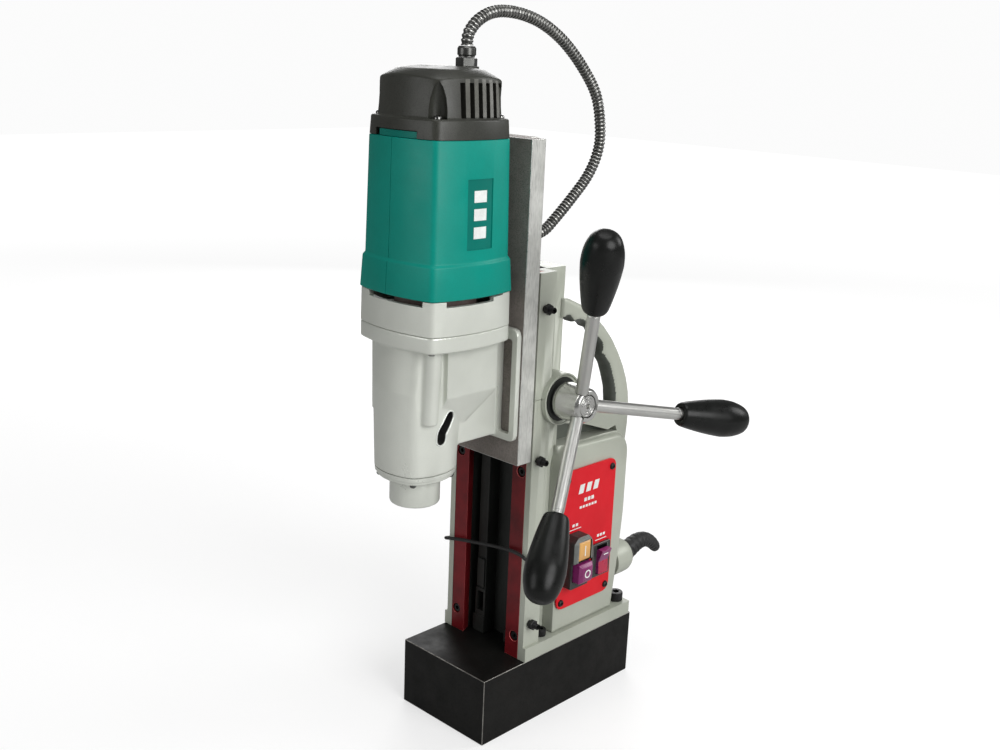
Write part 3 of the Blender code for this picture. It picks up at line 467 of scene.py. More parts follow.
def socket_screw(name, seat, out, head_r, head_h, socket_r, *finishes, shank=None, knurls=0):
    """A cap screw head standing on its seat, with its hexagon socket and a broken edge."""
    profile = [(0, 0.02), (head_r, 0.02), (head_r, head_h * 0.86), (head_r * 0.93, head_h),
        (0, head_h)]
    head = lathe(name, profile, seat, out, *finishes, sides=knurls * 2 or 40)
    if knurls:
        groove = bmesh.new()
        groove.from_mesh(head.data)
        axis = Vector(out).normalized()
        for vert in groove.verts:
            rise = (vert.co - Vector(seat) * MM).dot(axis)
            arm = vert.co - Vector(seat) * MM - axis * rise
            if arm.length > head_r * 0.97 * MM and vert.index % 2:
                vert.co -= arm * 0.04
        groove.to_mesh(head.data)
        groove.free()
    seat, out = Vector(seat), Vector(out).normalized()
    cut(head, rod("socket", seat + out * head_h * 0.4, seat + out * (head_h + 2), socket_r,
        sides=6))
    if shank:
        radius, length = shank
        unite(head, rod("shank", seat + out * 0.5, seat - out * length, radius, sides=24))
    return head


def show(body, slot, *pieces):
    """Rides pieces on a body. The slot argument is not used."""
    for piece in pieces:
        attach(piece, body)


def stand_for(node, body, slot, *pieces):
    """Rides pieces on a body, the first of them in a node's place."""
    show(body, slot, *pieces)
    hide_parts(node)


def cast(piece, voxel, rounds, share=0.5):
    """Turns joined solids into one casting, with fillets where they meet."""
    grid = piece.modifiers.new("voxels", "REMESH")
    grid.mode = "VOXEL"
    grid.voxel_size = voxel * MM
    relax = piece.modifiers.new("fillets", "SMOOTH")
    relax.factor = 0.5
    relax.iterations = rounds
    fewer = piece.modifiers.new("fewer", "DECIMATE")
    fewer.ratio = share
    return settle(piece, 50)


def rework(node, *finishes):
    """A copy of a node's solid with its flat faces whole again, ready for finer work."""
    shape = bmesh.new()
    shape.from_mesh(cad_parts[node].data)
    bmesh.ops.remove_doubles(shape, verts=shape.verts, dist=0.000002)
    bmesh.ops.dissolve_limit(shape, angle_limit=radians(0.5), verts=shape.verts, edges=shape.edges)
    return from_bmesh(node + "_shown", shape, *finishes)


def refinish(piece, slot, chosen):
    """Gives the faces that chosen(centre, normal) picks, in millimetres, another finish."""
    for face in piece.data.polygons:
        if chosen(face.center / MM, face.normal):
            face.material_index = slot


# ---- sizes read from the frame -----------------------------------------------------------------
MOTOR_Y = centre("motor_housing").y
SPINDLE_Y = centre("spindle").y
HUB = centre("shaft_bearing")
HUB.x = 0
COLUMN_LOW, COLUMN_HIGH = span("column")
BULGE = 6.5                                # how far a housing's sides bow out
SPOKE_R = 5.1
SHELL = (BULGE, MOTOR_Y)
FLANGE_CORNER = 3.6
CORNERS = [(sx, sy, "lr"[sx > 0] + "fb"[sy > 0]) for sx in (-1, 1) for sy in (-1, 1)]


# ---- camera, floor and light -------------------------------------------------------------------
def camera():
    azimuth, elevation, roll = radians(43.676), radians(15.274), radians(2.344)
    back = Vector((sin(azimuth) * cos(elevation), -cos(azimuth) * cos(elevation), sin(elevation)))
    right = Vector((cos(azimuth), sin(azimuth), 0))
    up = back.cross(right)
    right, up = right * cos(roll) + up * sin(roll), up * cos(roll) - right * sin(roll)
    lens = bpy.data.cameras.new("camera")
    lens.lens, lens.sensor_width = 42.48, 36
    lens.clip_start = 0.01
    seen = keep("camera", lens)
    seen.matrix_world = (Matrix.Translation(Vector((642.1, -712.9, 551)) * MM)
        @ Matrix((right, up, back)).transposed().to_4x4())
    bpy.context.scene.camera = seen


def stage():
    """A plain pale flat floor, plain soft lights and a pale world."""
    shape = bmesh.new()
    bmesh.ops.create_grid(shape, x_segments=1, y_segments=1, size=6)
    mesh = bpy.data.meshes.new("floor")
    shape.to_mesh(mesh)
    shape.free()
    pale = bpy.data.materials.new("floor_pale")
    pale.use_nodes = True
    tree = pale.node_tree
    shader = tree.nodes["Principled BSDF"]
    patches = noise(tree, add(tree, "TexCoord").outputs["Object"], 3)
    tree.links.new(mixed(tree, patches, (0.50, 0.50, 0.50), (0.48, 0.48, 0.48)),
        shader.inputs["Base Color"])
    shader.inputs["Roughness"].default_value = 0.75
    shader.inputs["Emission Color"].default_value = (1, 1, 1, 1)
    away = add(tree, "VectorMath", {0: add(tree, "TexCoord").outputs["Object"]},
        operation="LENGTH").outputs["Value"]
    far_glow = remap(tree, away, 0.3, 3, 0.52, 0.93)
    glow = add(tree, "Math", {0: far_glow, 1: add(tree, "LightPath").outputs["Is Camera Ray"]},
        operation="MULTIPLY").outputs[0]
    tree.links.new(glow, shader.inputs["Emission Strength"])
    mesh.materials.append(pale)
    floor = keep("floor", mesh)
    floor.location.z = -0.0002

    world = bpy.data.worlds.new("studio")
    world.use_nodes = True
    light = world.node_tree.nodes["Background"]
    light.inputs[0].default_value = (1, 1, 1, 1)
    straight = add(world.node_tree, "LightPath").outputs["Is Camera Ray"]
    world.node_tree.links.new(remap(world.node_tree, straight, 0, 1, 0.17, 0.97), light.inputs[1])
    bpy.context.scene.world = world
    bpy.context.scene.view_settings.view_transform = "Standard"

    aim = Vector((0, -0.03, 0.28))
    for name, place, size, power in (("key", (1.6, -0.25, 1), 1.3, 27),
            ("front", (-0.5, -1.9, 0.8), 1.1, 8), ("top", (0.1, -0.1, 1.9), 1.2, 9),
            ("rim", (0.9, 1.5, 1.1), 0.9, 9), ("back", (-1.3, 1.2, 0.9), 1.2, 12)):
        lamp = bpy.data.lights.new(name, "AREA")
        lamp.shape, lamp.size, lamp.energy = "DISK", size, power
        made = keep(name, lamp)
        made.location = place
        towards = aim - Vector(place)
        made.rotation_euler = towards.to_track_quat("-Z", "Y").to_euler()


# ---- conduit and tie cord ----------------------------------------------------------------------
def corded(name, path, radius, pitch, depth, finish, crest, run=0):
    """A tube with rings along it. run is how far along the whole cord it starts."""
    sides = 20
    rings, runs = [], []
    for i, place in enumerate(path):
        ahead, behind = path[min(i + 1, len(path) - 1)], path[max(i - 1, 0)]
        along = (ahead - behind).normalized()
        run += (place - behind).length if i else 0
        runs.append(run + pitch / 12)
        side = X - along * X.dot(along)
        if side.length < 0.3:
            side = Z - along * Z.dot(along)
        r = radius * (1 - depth * (0.5 - 0.5 * cos(2 * pi * run / pitch)) ** 1.5)
        rings.append(circle(place, along, side, r, sides))
    piece = loft(name, rings, finish, crest)
    for face in piece.data.polygons:
        run = runs[min(face.index // sides, len(runs) - 1)]
        # faces near each ring's crest take the second finish, which on the conduit is a painted
        # highlight
        face.material_index = 1 if cos(2 * pi * run / pitch) > 0.55 else 0
    return piece


def measured(path):
    return sum((b - a).length for a, b in zip(path, path[1:]))


def conduit():
    """The motor's cable in its ribbed metal conduit, standing in an arch between two glands."""
    route = [(0, -14, 399.4), (0, -13.8, 403), (0, -9.5, 407.6), (0, -2, 410.2), (0, 6, 413),
        (0, 14, 418.4), (0, 35.1, 435.2), (0, 56.4, 454.9), (0, 67.6, 475.2), (0, 68.2, 495.8),
        (0, 60.7, 520.2), (0, 42.2, 541.5), (0, 18.6, 560.3), (0, -6, 572.9), (0, -29.1, 579.2),
        (0, -51.1, 581), (0, -66.9, 578.8), (0, -79.6, 572.8), (0, -87.4, 565), (0, -89.4, 558.6),
        (0, -89.5, 555)]
    pitch, radius = 3.2, 4.7
    path = smooth_route(route, pitch / 6)
    turn = max(range(len(path)), key=lambda i: path[i].y)
    lower_path, upper_path = path[:turn + 1], path[turn:]
    ribs = (radius, pitch, 0.17, "conduit_metal", "conduit_painted_highlight")
    lower = corded("conduit_lower", lower_path, *ribs)
    upper = corded("conduit_upper", upper_path, *ribs, run=measured(lower_path))
    stand_for("motor_conduit", "stand", "conduit_metal", lower)
    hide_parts("motor_conduit")
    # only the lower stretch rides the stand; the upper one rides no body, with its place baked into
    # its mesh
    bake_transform(upper)


def gland(node, body):
    low, high = span(node)
    middle = (low + high) / 2
    base = Vector((middle.x, middle.y, low.z))
    tall = high.z - low.z
    nut_r, nut_h = 8.3, 5 if tall > 11 else 4.6
    nut = lathe(node + "_nut", [(nut_r, -1.2), (nut_r, nut_h - 0.8), (nut_r - 0.9, nut_h)], base, Z,
        "conduit_metal", sides=6)
    soften(nut, 0.25)
    collar = [(7.15, nut_h + 0.1), (7.15, tall - 1.6), (6, tall)]
    if tall > 11:
        collar = [(6.2, nut_h + 0.1), (6.2, nut_h + 1.2), (7.15, nut_h + 1.8), (7.15, tall - 1.6),
            (6, tall)]
    ring = lathe(node + "_collar", collar, base, Z, "conduit_metal", sides=12 if tall > 11 else 32)
    soften(ring, 0.2)
    stand_for(node, body, "conduit_metal", nut, ring)


def tie_cord():
    """A thin cord tied round the column, which the slide pushes down when it comes that low; here
    it rides the stand and keeps its shape.
    """
    route = [(34.8, -22, 137), (40.5, -24.6, 137.2), (46.5, -25.4, 138), (49, -30, 139.5),
        (49.2, -38, 143.5), (49.2, -46, 149.5), (47.6, -50.4, 152.6), (42, -50.8, 154.6),
        (30, -50.6, 155), (10, -50.4, 152.4), (-12, -50.4, 148.6), (-32, -50.6, 144.8),
        (-42, -50.8, 142.4), (-47.6, -50.4, 141), (-49.2, -46, 139.6), (-49.2, -38, 138.2),
        (-49, -30, 137.4), (-46.5, -25.4, 137), (-40.5, -24.6, 136.8), (-34.8, -22, 136.6)]
    path = smooth_route(route, 0.5)
    piece = corded("column_tie", path, 1.5, 3, 0.08, "rubber", "rubber")
    stand_for("tie_cord", "stand", "rubber", piece)
    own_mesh(piece)


# ---- magnet, column and gib strips -------------------------------------------------------------
def magnet():
    low, high = span("magnet_housing")
    coil_low, coil_high = span("magnet_coil")
    room = Vector((1, 1, 0))
    body = block("magnet_block", low, high, "magnet_black", "worn_edge")
    pocket = block("pocket", (*(coil_low - room).xy, -5), (*(coil_high + room).xy, 44))
    cut(pocket, block("core", (-20, -64, -9), (20, 64, 60)))
    cut(body, pocket)
    # the rounded edges take slot 1: wear and a painted highlight line
    soften(body, 0.55, edge_slot=1)
    stand_for("magnet_housing", "stand", "magnet_black", body)
    for node, finish in (("magnet_coil", "copper"), ("magnet_potting", "potting")):
        stand_for(node, "stand", finish, soften(rework(node, finish), 0.5))


def column():
    body = rework("column", "casting_paint", "casting_dark")
    cut(body, lathe("boss_lip", [(20.4, 0), (20.4, 4), (17.6, 4), (17.6, 0)], HUB + X * 49.2, X,
        hollow=True))
    cut(body, block("seam", (45.3, -52, HUB.z + 2), (47, -38.2, HUB.z + 2.9)))

    def in_channel(middle, normal):
        return (abs(middle.x) < 40.5 and -47.3 < middle.y < -23.5 and abs(normal.z) < 0.5
            and middle.z > COLUMN_LOW.z + 1)

    # the channel's faces take the near-black: their own black deepened as painted shade
    refinish(body, 1, in_channel)
    soften(body, 0.6)
    stand_for("column", "stand", "casting_paint", body)

    floor = COLUMN_LOW.z + 0.2
    # the channel's ribs take the same near-black, own colour and painted shade
    ribs = block("channel_ribs", (-22.5, -36.5, floor), (-10.8, -24.1, 262), "casting_dark")
    cut(ribs, block("rib_socket", (-20, -40, 79), (-13, -29, 97)),
        block("rib_step", (-30, -40, 100), (-11.6, -34.9, 270)))
    unite(ribs, block("rib_foot", (-24, -37.4, floor), (-10.8, -24.5, 74)),
        block("rib_plug", (-20.6, -37.3, 102), (-12.4, -33, 128)))
    other = block("channel_rib_right", (14, -33, floor), (20.5, -24.1, 262), "casting_dark")
    unite(other, block("rib_lug", (11, -34.5, floor), (23.5, -24.5, 70)))
    show("stand", "casting_paint", soften(ribs, 0.5), soften(other, 0.5))


LEVELS = ("bottom", "middle", "top")
STRIP_SCREW_Z = [centre("strip_screw_left_" + level).z for level in LEVELS]


def gib_strips():
    for side, sx in (("left", -1), ("right", 1)):
        node = "gib_strip_" + side
        low, high = span(node)
        front, back, outer = low.y, high.y, max(abs(low.x), abs(high.x))
        inner = min(abs(low.x), abs(high.x))
        plan = [(sx * inner, front), (sx * outer, front), (sx * outer, back),
            (sx * (inner + 0.43 * (back - front)), back)]
        strip = prism(node + "_shown", plan, "Z", low.z, high.z, "strip_red", "strip_edge")
        x = centre(f"strip_screw_{side}_top").x
        for z in STRIP_SCREW_Z:
            cut(strip, rod("sink", (x, front - 4, z), (x, front + 5.4, z), 4.6, sides=32),
                rod("hole", (x, front, z), (x, back + 4, z), 2.3, sides=24))
        # the rounded edges take the bright red painted highlight
        soften(strip, 0.6, edge_slot=1)
        stand_for(node, "stand", "strip_red", strip)
        for level, z in zip(LEVELS, STRIP_SCREW_Z):
            screw = socket_screw(f"strip_screw_{side}_{level}_shown", (x, front + 5, z), -Y, 3.7,
                4.1, 2, "screw_black")
            stand_for(f"strip_screw_{side}_{level}", "stand", "screw_black", soften(screw, 0.2))


def set_screws():
    """The gib adjusting screws: a threaded end with its key socket, and a lock nut."""
    for level in LEVELS:
        node = "gib_set_screw_" + level
        low, high = span(node)
        middle = (low + high) / 2
        wall = COLUMN_HIGH.x - 3 + 0.3       # the column's side face
        start = Vector((wall, middle.y, middle.z))
        thread = [(2.2, -4)]
        turns = 12
        for i in range(turns):
            at = 0.4 + 8.2 * i / turns
            thread += [(2.5, at), (2.2, at + 0.4)]
        thread += [(2.2, high.x - wall - 0.1), (1.9, high.x - wall)]
        screw = lathe(node + "_thread", thread, start, X, "screw_black", sides=20)
        cut(screw, rod("socket", start + X * (high.x - wall - 2.5), start + X * 20, 1.5, sides=6))
        nut = lathe(node + "_nut", [(4.1, 0.05), (4.65, 0.6), (4.65, 3.3), (4.1, 3.8)], start, X,
            "screw_black", sides=6)
        stand_for(node, "stand", "screw_black", screw, soften(nut, 0.25))


def flange_bolts():
    for end, head_r, head_h, key in (("front", 5, 6, 2.6), ("rear", 6.5, 8, 3.3)):
        for side in ("left", "right"):
            node = f"flange_bolt_{end}_{side}"
            middle, high = centre(node), span(node)[1]
            seat = Vector((middle.x, middle.y, high.z - head_h))
            head = socket_screw(node + "_shown", seat, Z, head_r, head_h, key, "screw_black",
                shank=(head_r * 0.6, 11), knurls=28)
            stand_for(node, "stand", "screw_black", soften(head, 0.25))


def tree_of(piece):
    return BVHTree.FromPolygons([v.co for v in piece.data.vertices],
        [tuple(p.vertices) for p in piece.data.polygons])


def bead(name, target, outline, axis, radius, *finishes):
    """A thin raised line lying on a piece's surface along a closed outline."""
    tree, route = tree_of(target), []
    for point in outline:
        found = tree.ray_cast((Vector(point) + axis * 60) * MM, -axis)[0]
        if found:
            route.append(found / MM)
    rings, count = [], len(route)
    for i, place in enumerate(route):
        along = (route[(i + 1) % count] - route[i - 1]).normalized()
        rings.append(circle(place, along, axis - along * axis.dot(along), radius, 8))
    return loft(name, rings, *finishes, hollow=True)


def shell_patch(name, half_at, thick, low, high, *finishes):
    """A piece of the motor's wall: thick is (inner, outer) off the wall, low and high a box."""
    levels = [low[2] + (high[2] - low[2]) * i / 4 for i in range(5)]
    outer = [bowed(half_at(z) + thick[1], BULGE, z, MOTOR_Y) for z in levels]
    inner = [bowed(half_at(z) + thick[0], BULGE, z, MOTOR_Y) for z in reversed(levels)]
    wall = loft(name, outer + inner, *finishes, hollow=True)
    return boolean(wall, block("window", (low[0], low[1], low[2] - 1),
        (high[0], high[1], high[2] + 1)), "INTERSECT")


# ---- rear housing and carrying handle ----------------------------------------------------------
HANDLE_X = 29
GRIP_OUTER = [(-8, 364), (2, 361.5), (18, 354.5), (36, 343), (49, 332), (59.5, 321), (69, 308),
    (77, 295), (83, 282), (87, 269), (89, 256), (89, 240), (87.5, 225), (84.5, 210), (77.5, 197),
    (60, 197), (63, 225), (64.5, 248)]
GRIP_INNER = [(66.4, 260), (64.5, 274), (59.6, 286.8), (54.9, 297), (45.8, 307.8)]
GRIP_CUSPS = [(45.8, 307.8), (37.5, 323.3), (25, 334.4), (7, 341), (-8, 346.4)]


def scallops(cusps, depth, steps=6):
    """Round hollows between pointed cusps, for the fingers."""
    line = []
    for a, b in zip(cusps, cusps[1:]):
        a, b = Vector(a), Vector(b)
        out = Vector((a.y - b.y, b.x - a.x)).normalized()
        if out.x < 0:
            out = -out
        for i in range(1, steps + 1):
            line.append(tuple(a.lerp(b, i / steps) + out * depth * sin(pi * i / steps)))
    return line


def rear_housing():
    low = span("rear_housing")[0]
    half = 45
    side = rounded([(72.5, low.z), (78.5, 120), (81.8, 160), (81.8, 222), (77, 231), (69, 235.5),
        (6, 238), (-3, 238), (-9.6, 226), (-9.6, low.z)], 9, 4)
    rings = []
    for x, edge in ((-1, 5), (-0.985, 2.6), (-0.955, 1.1), (-0.90, 0.25), (-0.85, 0), (0.85, 0),
            (0.90, 0.25), (0.955, 1.1), (0.985, 2.6), (1, 5)):
        rings.append([(x * half, y - edge * max(0, min(1, (y - 30) / 30)),
            z - 0.6 * edge * max(0, min(1, (z - 200) / 30))) for y, z in side])
    body = loft("rear_housing_shown", rings, "casting_paint", "casting_dark", "casting_painted_shade",
        "grip_painted_shade")
    neck = rounded([(-7, 225), (72, 225), (72, 253), (54, 261), (12, 261), (-7, 279)], 6, 3, True)
    unite(body, prism("handle_root", neck, "X", 14, HANDLE_X + 8))
    bar = GRIP_OUTER + GRIP_INNER + scallops(GRIP_CUSPS, 2.8)
    rings = []
    for x, edge in ((-8, 4), (-6.8, 1.6), (-4, 0), (4, 0), (6.8, 1.6), (8, 4)):
        rings.append(level(inset(bar, edge), "X", HANDLE_X + x))
    unite(body, loft("handle_bar", rings))
    cast(body, 1.2, 4, 0.42)
    hollow = [(-12, 238.5), (-12, 259), (-2.6, 257.4), (21.6, 252.6), (35.9, 247.9), (54.5, 241.1),
        (59.2, 239.6), (69.1, 241.6), (71.5, 236.2), (58, 237.2)]
    cut(body, prism("neck_recess", hollow, "X", 24, 60),
        block("column_room", (-33.3, -60, 60), (33.3, -3.7, 400)),
        rod("boss_room", (15, HUB.y, HUB.z), (60, HUB.y, HUB.z), 21.8),
        block("electrics_room", (-39, -1, 97), (44.2, 58, 212)),
        block("panel_window", (40, 1, 116), (60, 55, 158)),
        rod("outlet_hole", (28, 40, 108), (28, 95, 108), 6.5),
        block("foot_line", (-46, -11, 72.6), (-44.4, 90, 73.2)),
        block("foot_line", (44.4, -11, 72.6), (46, 90, 73.2)))

    def in_recess(middle, normal):
        return (23 < middle.x < 37.2 and middle.z < 259 and 235 < middle.z and middle.y < 72
            and (abs(middle.x - 24) < 0.1 or (normal.z < -0.3 and middle.y < 70)))

    def in_grip(middle, normal):
        inward = Vector((0, 18 - middle.y, 262 - middle.z)).normalized()
        return (abs(middle.x - HANDLE_X) < 8.3 and middle.z > 262 and middle.y > -5
            and normal.dot(inward) > 0.45)

    # the recess faces take the darker paint as painted shade
    refinish(body, 2, in_recess)
    # the handle's inner faces take the near-black as painted shade
    refinish(body, 3, in_grip)
    stand_for("rear_housing", "stand", "casting_paint", body)


def outlet():
    """The round boss that the mains cord leaves by, and its ribbed strain relief."""
    boss = lathe("mains_gland_shown", [(6, 0), (16, 0), (16, 14), (15.7, 19), (14.3, 22.6),
        (12.2, 24), (6, 24)], (28, 79.4, 108), Y, "casting_paint", hollow=True)
    stand_for("mains_gland", "stand", "casting_paint", soften(boss, 0.5))
    route = smooth_route([(28, y, z) for y, z in ((103.8, 108), (109, 108), (118, 111.2),
        (127, 113.2), (136, 112.4), (144, 109), (151, 103.8), (156.5, 98))], 0.5)

    def ribbed(share, angle):
        taper = 9.45 - 4.3 * share ** 1.15
        if share < 0.10:
            return taper + 0.15
        end = min(1, (1 - share) / 0.03) ** 0.5
        flat = 0.45 if 0.55 < abs(sin(angle)) else 1
        wave = 0.5 - 0.5 * cos(2 * pi * (share - 0.10) * 11)
        return taper * (0.75 + 0.25 * end) - 1.4 * flat * wave ** 2 * (1 - 0.35 * share)

    sleeve = swept("strain_relief_shown", route, ribbed, "rubber")
    stand_for("strain_relief", "stand", "rubber", sleeve)


# ---- panel and switches ------------------------------------------------------------------------
PANEL_LOW, PANEL_HIGH = span("switch_panel")
PANEL_X = PANEL_HIGH.x


def panel():
    low, high = PANEL_LOW, PANEL_HIGH
    outline = rounded([(high.y, high.z), (low.y, high.z), (low.y, low.z), (high.y, low.z)], 9, 6,
        closed=True)
    plate = prism("switch_panel_shown", outline, "X", low.x, high.x, "panel_red", "print_white")
    cut(plate, block("window", (40, -0.5, 115.5), (55, 18.5, 158.5)),
        block("window", (40, 36.2, 112.9), (55, 54.8, 140.1)))
    soften(plate, 0.35)
    stand_for("switch_panel", "stand", "panel_red", plate)
    for i, (y, z) in enumerate(((55.5, 209.6), (55.6, 98.4), (-3.7, 98.5), (-2.6, 209.5))):
        seat = Vector((high.x - 0.3, y, z))
        head = lathe(f"panel_screw_{i + 1}", [(3.1, 0), (3.1, 0.7), (2.7, 1.6), (1.9, 2.2),
            (0, 2.3)], seat, X, "screw_black", sides=32)
        cut(head, rod("socket", seat + X * 0.9, seat + X * 5, 1.25, sides=6))
        show("stand", "screw_black", head)
    marks = []
    for i in range(3):                     # a plain three-bar mark, with rows of short bars below
        y = 12 + 9.5 * i
        marks.append([(y, 194), (y + 6, 194), (y + 8, 202), (y + 2, 202)])
    bars = [(20 + 4.6 * i, 185.6, 3.4, 3.2) for i in range(3)]
    bars += [(14.5 + 3.9 * i, 180.2, 2.7, 2.2) for i in range(6)]
    bars += [(1, 162.6, 17, 0.7), (6.3, 165.4, 3, 2.4), (10.6, 165.4, 3, 2.4)]
    bars += [(38.5, 144.2, 15, 0.7)] + [(40.5 + 3.9 * i, 147.4, 2.8, 2.4) for i in range(3)]
    marks += [box_line(y, z, y + wide, z + tall) for y, z, wide, tall in bars]
    for i, points in enumerate(marks):
        mark = prism(f"panel_mark_{i + 1}", points, "X", high.x - 0.2, high.x + 0.12, "print_white")
        show("stand", "panel_red", mark)


def motor_switch():
    low, high = Vector((PANEL_X + 0.3, -2.5, 113)), Vector((61, 20.5, 160.5))
    corner = 5
    frame_line = [(low.y, low.z), (high.y, low.z), (high.y, high.z - corner),
        (high.y - corner, high.z), (low.y + corner, high.z), (low.y, high.z - corner)]
    body = prism("motor_switch_shown", rounded(frame_line, 1.2, 3, closed=True), "X", low.x,
        high.x - 5, "switch_black", "switch_grey")
    hood = [(low.y, low.z + 24), (high.y, low.z + 24), *frame_line[2:]]
    rings = []
    for x, edge in ((high.x - 6, 0), (high.x - 2.6, 0), (high.x, 2.4)):
        rings.append(level(rounded(inset(hood, edge), 1.2, 3, closed=True), "X", x))
    unite(body, loft("hood", rings), block("works", (28, 0, 116), (49, 18, 158)))
    cut(body, block("start_well", (49.5, 1, 139), (66, 17, 157)),
        block("stop_well", (49.5, -0.2, 119), (66, 18.2, 137.5)))
    # the hood's front faces take the lighter grey painted highlight
    refinish(body, 1, lambda middle, normal: normal.x > 0.3 and middle.x > high.x - 3
        and middle.z > 137)
    # its rounded edges take the same painted highlight
    soften(body, 0.55, edge_slot=1)
    stand_for("motor_switch_block", "stand", "switch_black", body)

    def button(node, finish, chamfer):
        a, b = span(node)
        rings = []
        for x, edge in ((a.x, 0), (b.x - chamfer, 0), (b.x - 0.35, chamfer * 0.8),
                (b.x, chamfer * 0.8 + 0.5)):
            outline = box_line(a.y + edge, a.z + edge, b.y - edge, b.z - edge)
            rings.append(level(rounded(outline, 1.2, 3, closed=True), "X", x))
        return soften(loft(node + "_shown", rings, finish), 0.25)

    start = button("start_button", "start_amber", 1)
    stand_for("start_button", "start_button", "start_amber", start)
    low, high = span("start_button")
    z = (low.z + high.z) / 2
    stroke = block("start_mark", (high.x - 0.2, 8.4, z - 4.6), (high.x + 0.12, 9.6, z + 4.6),
        "print_white")
    show("start_button", "start_amber", stroke)

    stop = button("stop_button", "stop_purple", 2.6)
    stand_for("stop_button", "stop_button", "stop_purple", stop)
    middle, face = centre("stop_button"), span("stop_button")[1].x
    ring = lathe("stop_mark", [(2.6, 0), (2.6, 0.3), (3.7, 0.3), (3.7, 0)],
        (face - 0.18, middle.y, middle.z), X, "print_white", hollow=True)
    show("stop_button", "stop_purple", ring)


def magnet_switch():
    low, high = Vector((PANEL_X + 0.3, 33.5, 111)), Vector((50, 57, 142))
    outline = rounded(box_line(low.y, low.z, high.y, high.z), 1.8, 3, closed=True)
    body = prism("magnet_switch_shown", outline, "X", low.x, high.x, "switch_black", "switch_grey")
    unite(body, block("works", (26, 37, 114), (48, 54, 139)))
    cut(body, block("rocker_well", (38, 38.5, 112.9), (55, 52.5, 140.1)))
    # the frame's rounded edges take the lighter grey painted highlight
    soften(body, 0.5, edge_slot=1)
    stand_for("magnet_switch_frame", "stand", "switch_black", body)
    rocker = rework("magnet_rocker", "stop_purple", "stop_red")
    refinish(rocker, 1, lambda middle, normal: middle.z < 126.5 and normal.x > 0.3)
    soften(rocker, 0.4)
    stand_for("magnet_rocker", "magnet_rocker", "stop_purple", rocker)
    top = tree_of(rocker).ray_cast(Vector((70, 45.5, 133)) * MM, -X)[0] / MM
    dash = block("rocker_mark", (top.x - 0.3, 42.5, 132.4), (top.x + 0.12, 48.5, 133.4),
        "print_white")
    show("magnet_rocker", "stop_purple", dash)


# ---- feed handle -------------------------------------------------------------------------------
CONE = radians(20)                       # the bars lean out from the hub's own plane
SPOKES = [Vector((sin(CONE), cos(CONE) * sin(turn), cos(CONE) * cos(turn)))
    for turn in (radians(120 * i - 19) for i in range(3))]


def feed_handle():
    hub = lathe("feed_hub_shown", [(12.2, 77.4), (12.9, 76.9), (13.6, 75.4), (14.2, 74.8),
        (15.4, 56.4), (15.5, 55.6), (15, 52), (14.2, 51.2), (7.4, 51.2), (7.4, 71), (9.4, 71),
        (9.4, 76.9), (9.8, 77.4)], HUB, X, "steel", "steel_dull", sides=72, hollow=True)
    root = HUB + X * 68.6
    for along in SPOKES:
        cut(hub, rod("socket", root + along * 12, root + along * 30, SPOKE_R + 0.3, sides=40))
    soften(hub, 0.3)
    stand_for("feed_hub", "feed_handle", "steel", hub)
    cap = lathe("hub_screw_shown", [(0, 0), (9, 0), (9, 4.8), (8.5, 5.5), (7.6, 5.5), (7.3, 5.1),
        (6.7, 5.1), (6.4, 5.5), (4.9, 5.5), (4.7, 5.2), (4.2, 5.2), (4, 5.5), (0, 5.5)],
        HUB + X * 71.3, X, "steel", "steel_dull", sides=56)
    cut(cap, rod("socket", HUB + X * 74, HUB + X * 80, 2.5, sides=6))
    stand_for("hub_screw", "feed_handle", "steel", soften(cap, 0.15))

    low, length, radius = 97.6, 69.2, 15.8
    knob_line = [(0, 1), (0.22, 0.996), (0.42, 0.985), (0.73, 0.92), (0.93, 0.79), (1, 0.66),
        (0.99, 0.56), (0.90, 0.36), (0.74, 0.13), (0.655, 0.035)]
    profile = [(max(0, p.x), p.z) for p in smooth_route([(r * radius, 0, h * length)
        for r, h in knob_line], 1.6)]
    profile[0] = (0, length)
    profile += [(9.9, 1.2), (9.5, 0.4), (8.9, 0), (5.9, 0), (5.5, 0.8), (5.4, 25.4), (0, 25.4)]
    for i, along in enumerate(SPOKES):
        bar = lathe(f"spoke_{i + 1}_shown", [(4.2, 12.4), (5.1, 13.4), (5.1, 93), (4.9, 93.3),
            (4.9, 94.6), (5.1, 94.9), (5.1, 121), (4.4, 122)], root, along, "spoke_steel", sides=40)
        stand_for(f"spoke_{i + 1}", "feed_handle", "steel", bar)
        knob = lathe(f"knob_{i + 1}_shown", profile, root + along * low, along, "knob_plastic",
            sides=64)
        stand_for(f"knob_{i + 1}", "feed_handle", "knob_plastic", knob)


# ---- slide plate -------------------------------------------------------------------------------
def slide_plate():
    body = rework("slide_plate", "slide_front", "slide_side", "slide_painted_highlight")
    refinish(body, 1, lambda middle, normal: abs(normal.x) > 0.9 and abs(middle.x) > 40)
    # the rounded edges take the pale painted highlight (slot 2)
    soften(body, 0.5, edge_slot=2)
    stand_for("slide_plate", "carriage", "slide_steel", body)


# ---- gearbox -----------------------------------------------------------------------------------
def slot_outline(centres, radius, steps=7):
    """A rounded slot's outline round a bent centre line of (y, z) points."""
    route = smooth_route([(0, y, z) for y, z in centres], 1.5)
    left, right = [], []
    for i, place in enumerate(route):
        along = (route[min(i + 1, len(route) - 1)] - route[max(i - 1, 0)]).normalized()
        across = Vector((0, -along.z, along.y))
        left.append(place + across * radius)
        right.append(place - across * radius)
    ends = []
    for place, along in ((route[-1], (route[-1] - route[-2]).normalized()),
            (route[0], (route[0] - route[1]).normalized())):
        across = Vector((0, -along.z, along.y))
        ends.append([place + across * cos(pi * k / steps) * radius
            + along * sin(pi * k / steps) * radius for k in range(1, steps)])
    points = left + ends[0] + list(reversed(right)) + ends[1]
    return [(p.y, p.z) for p in points]


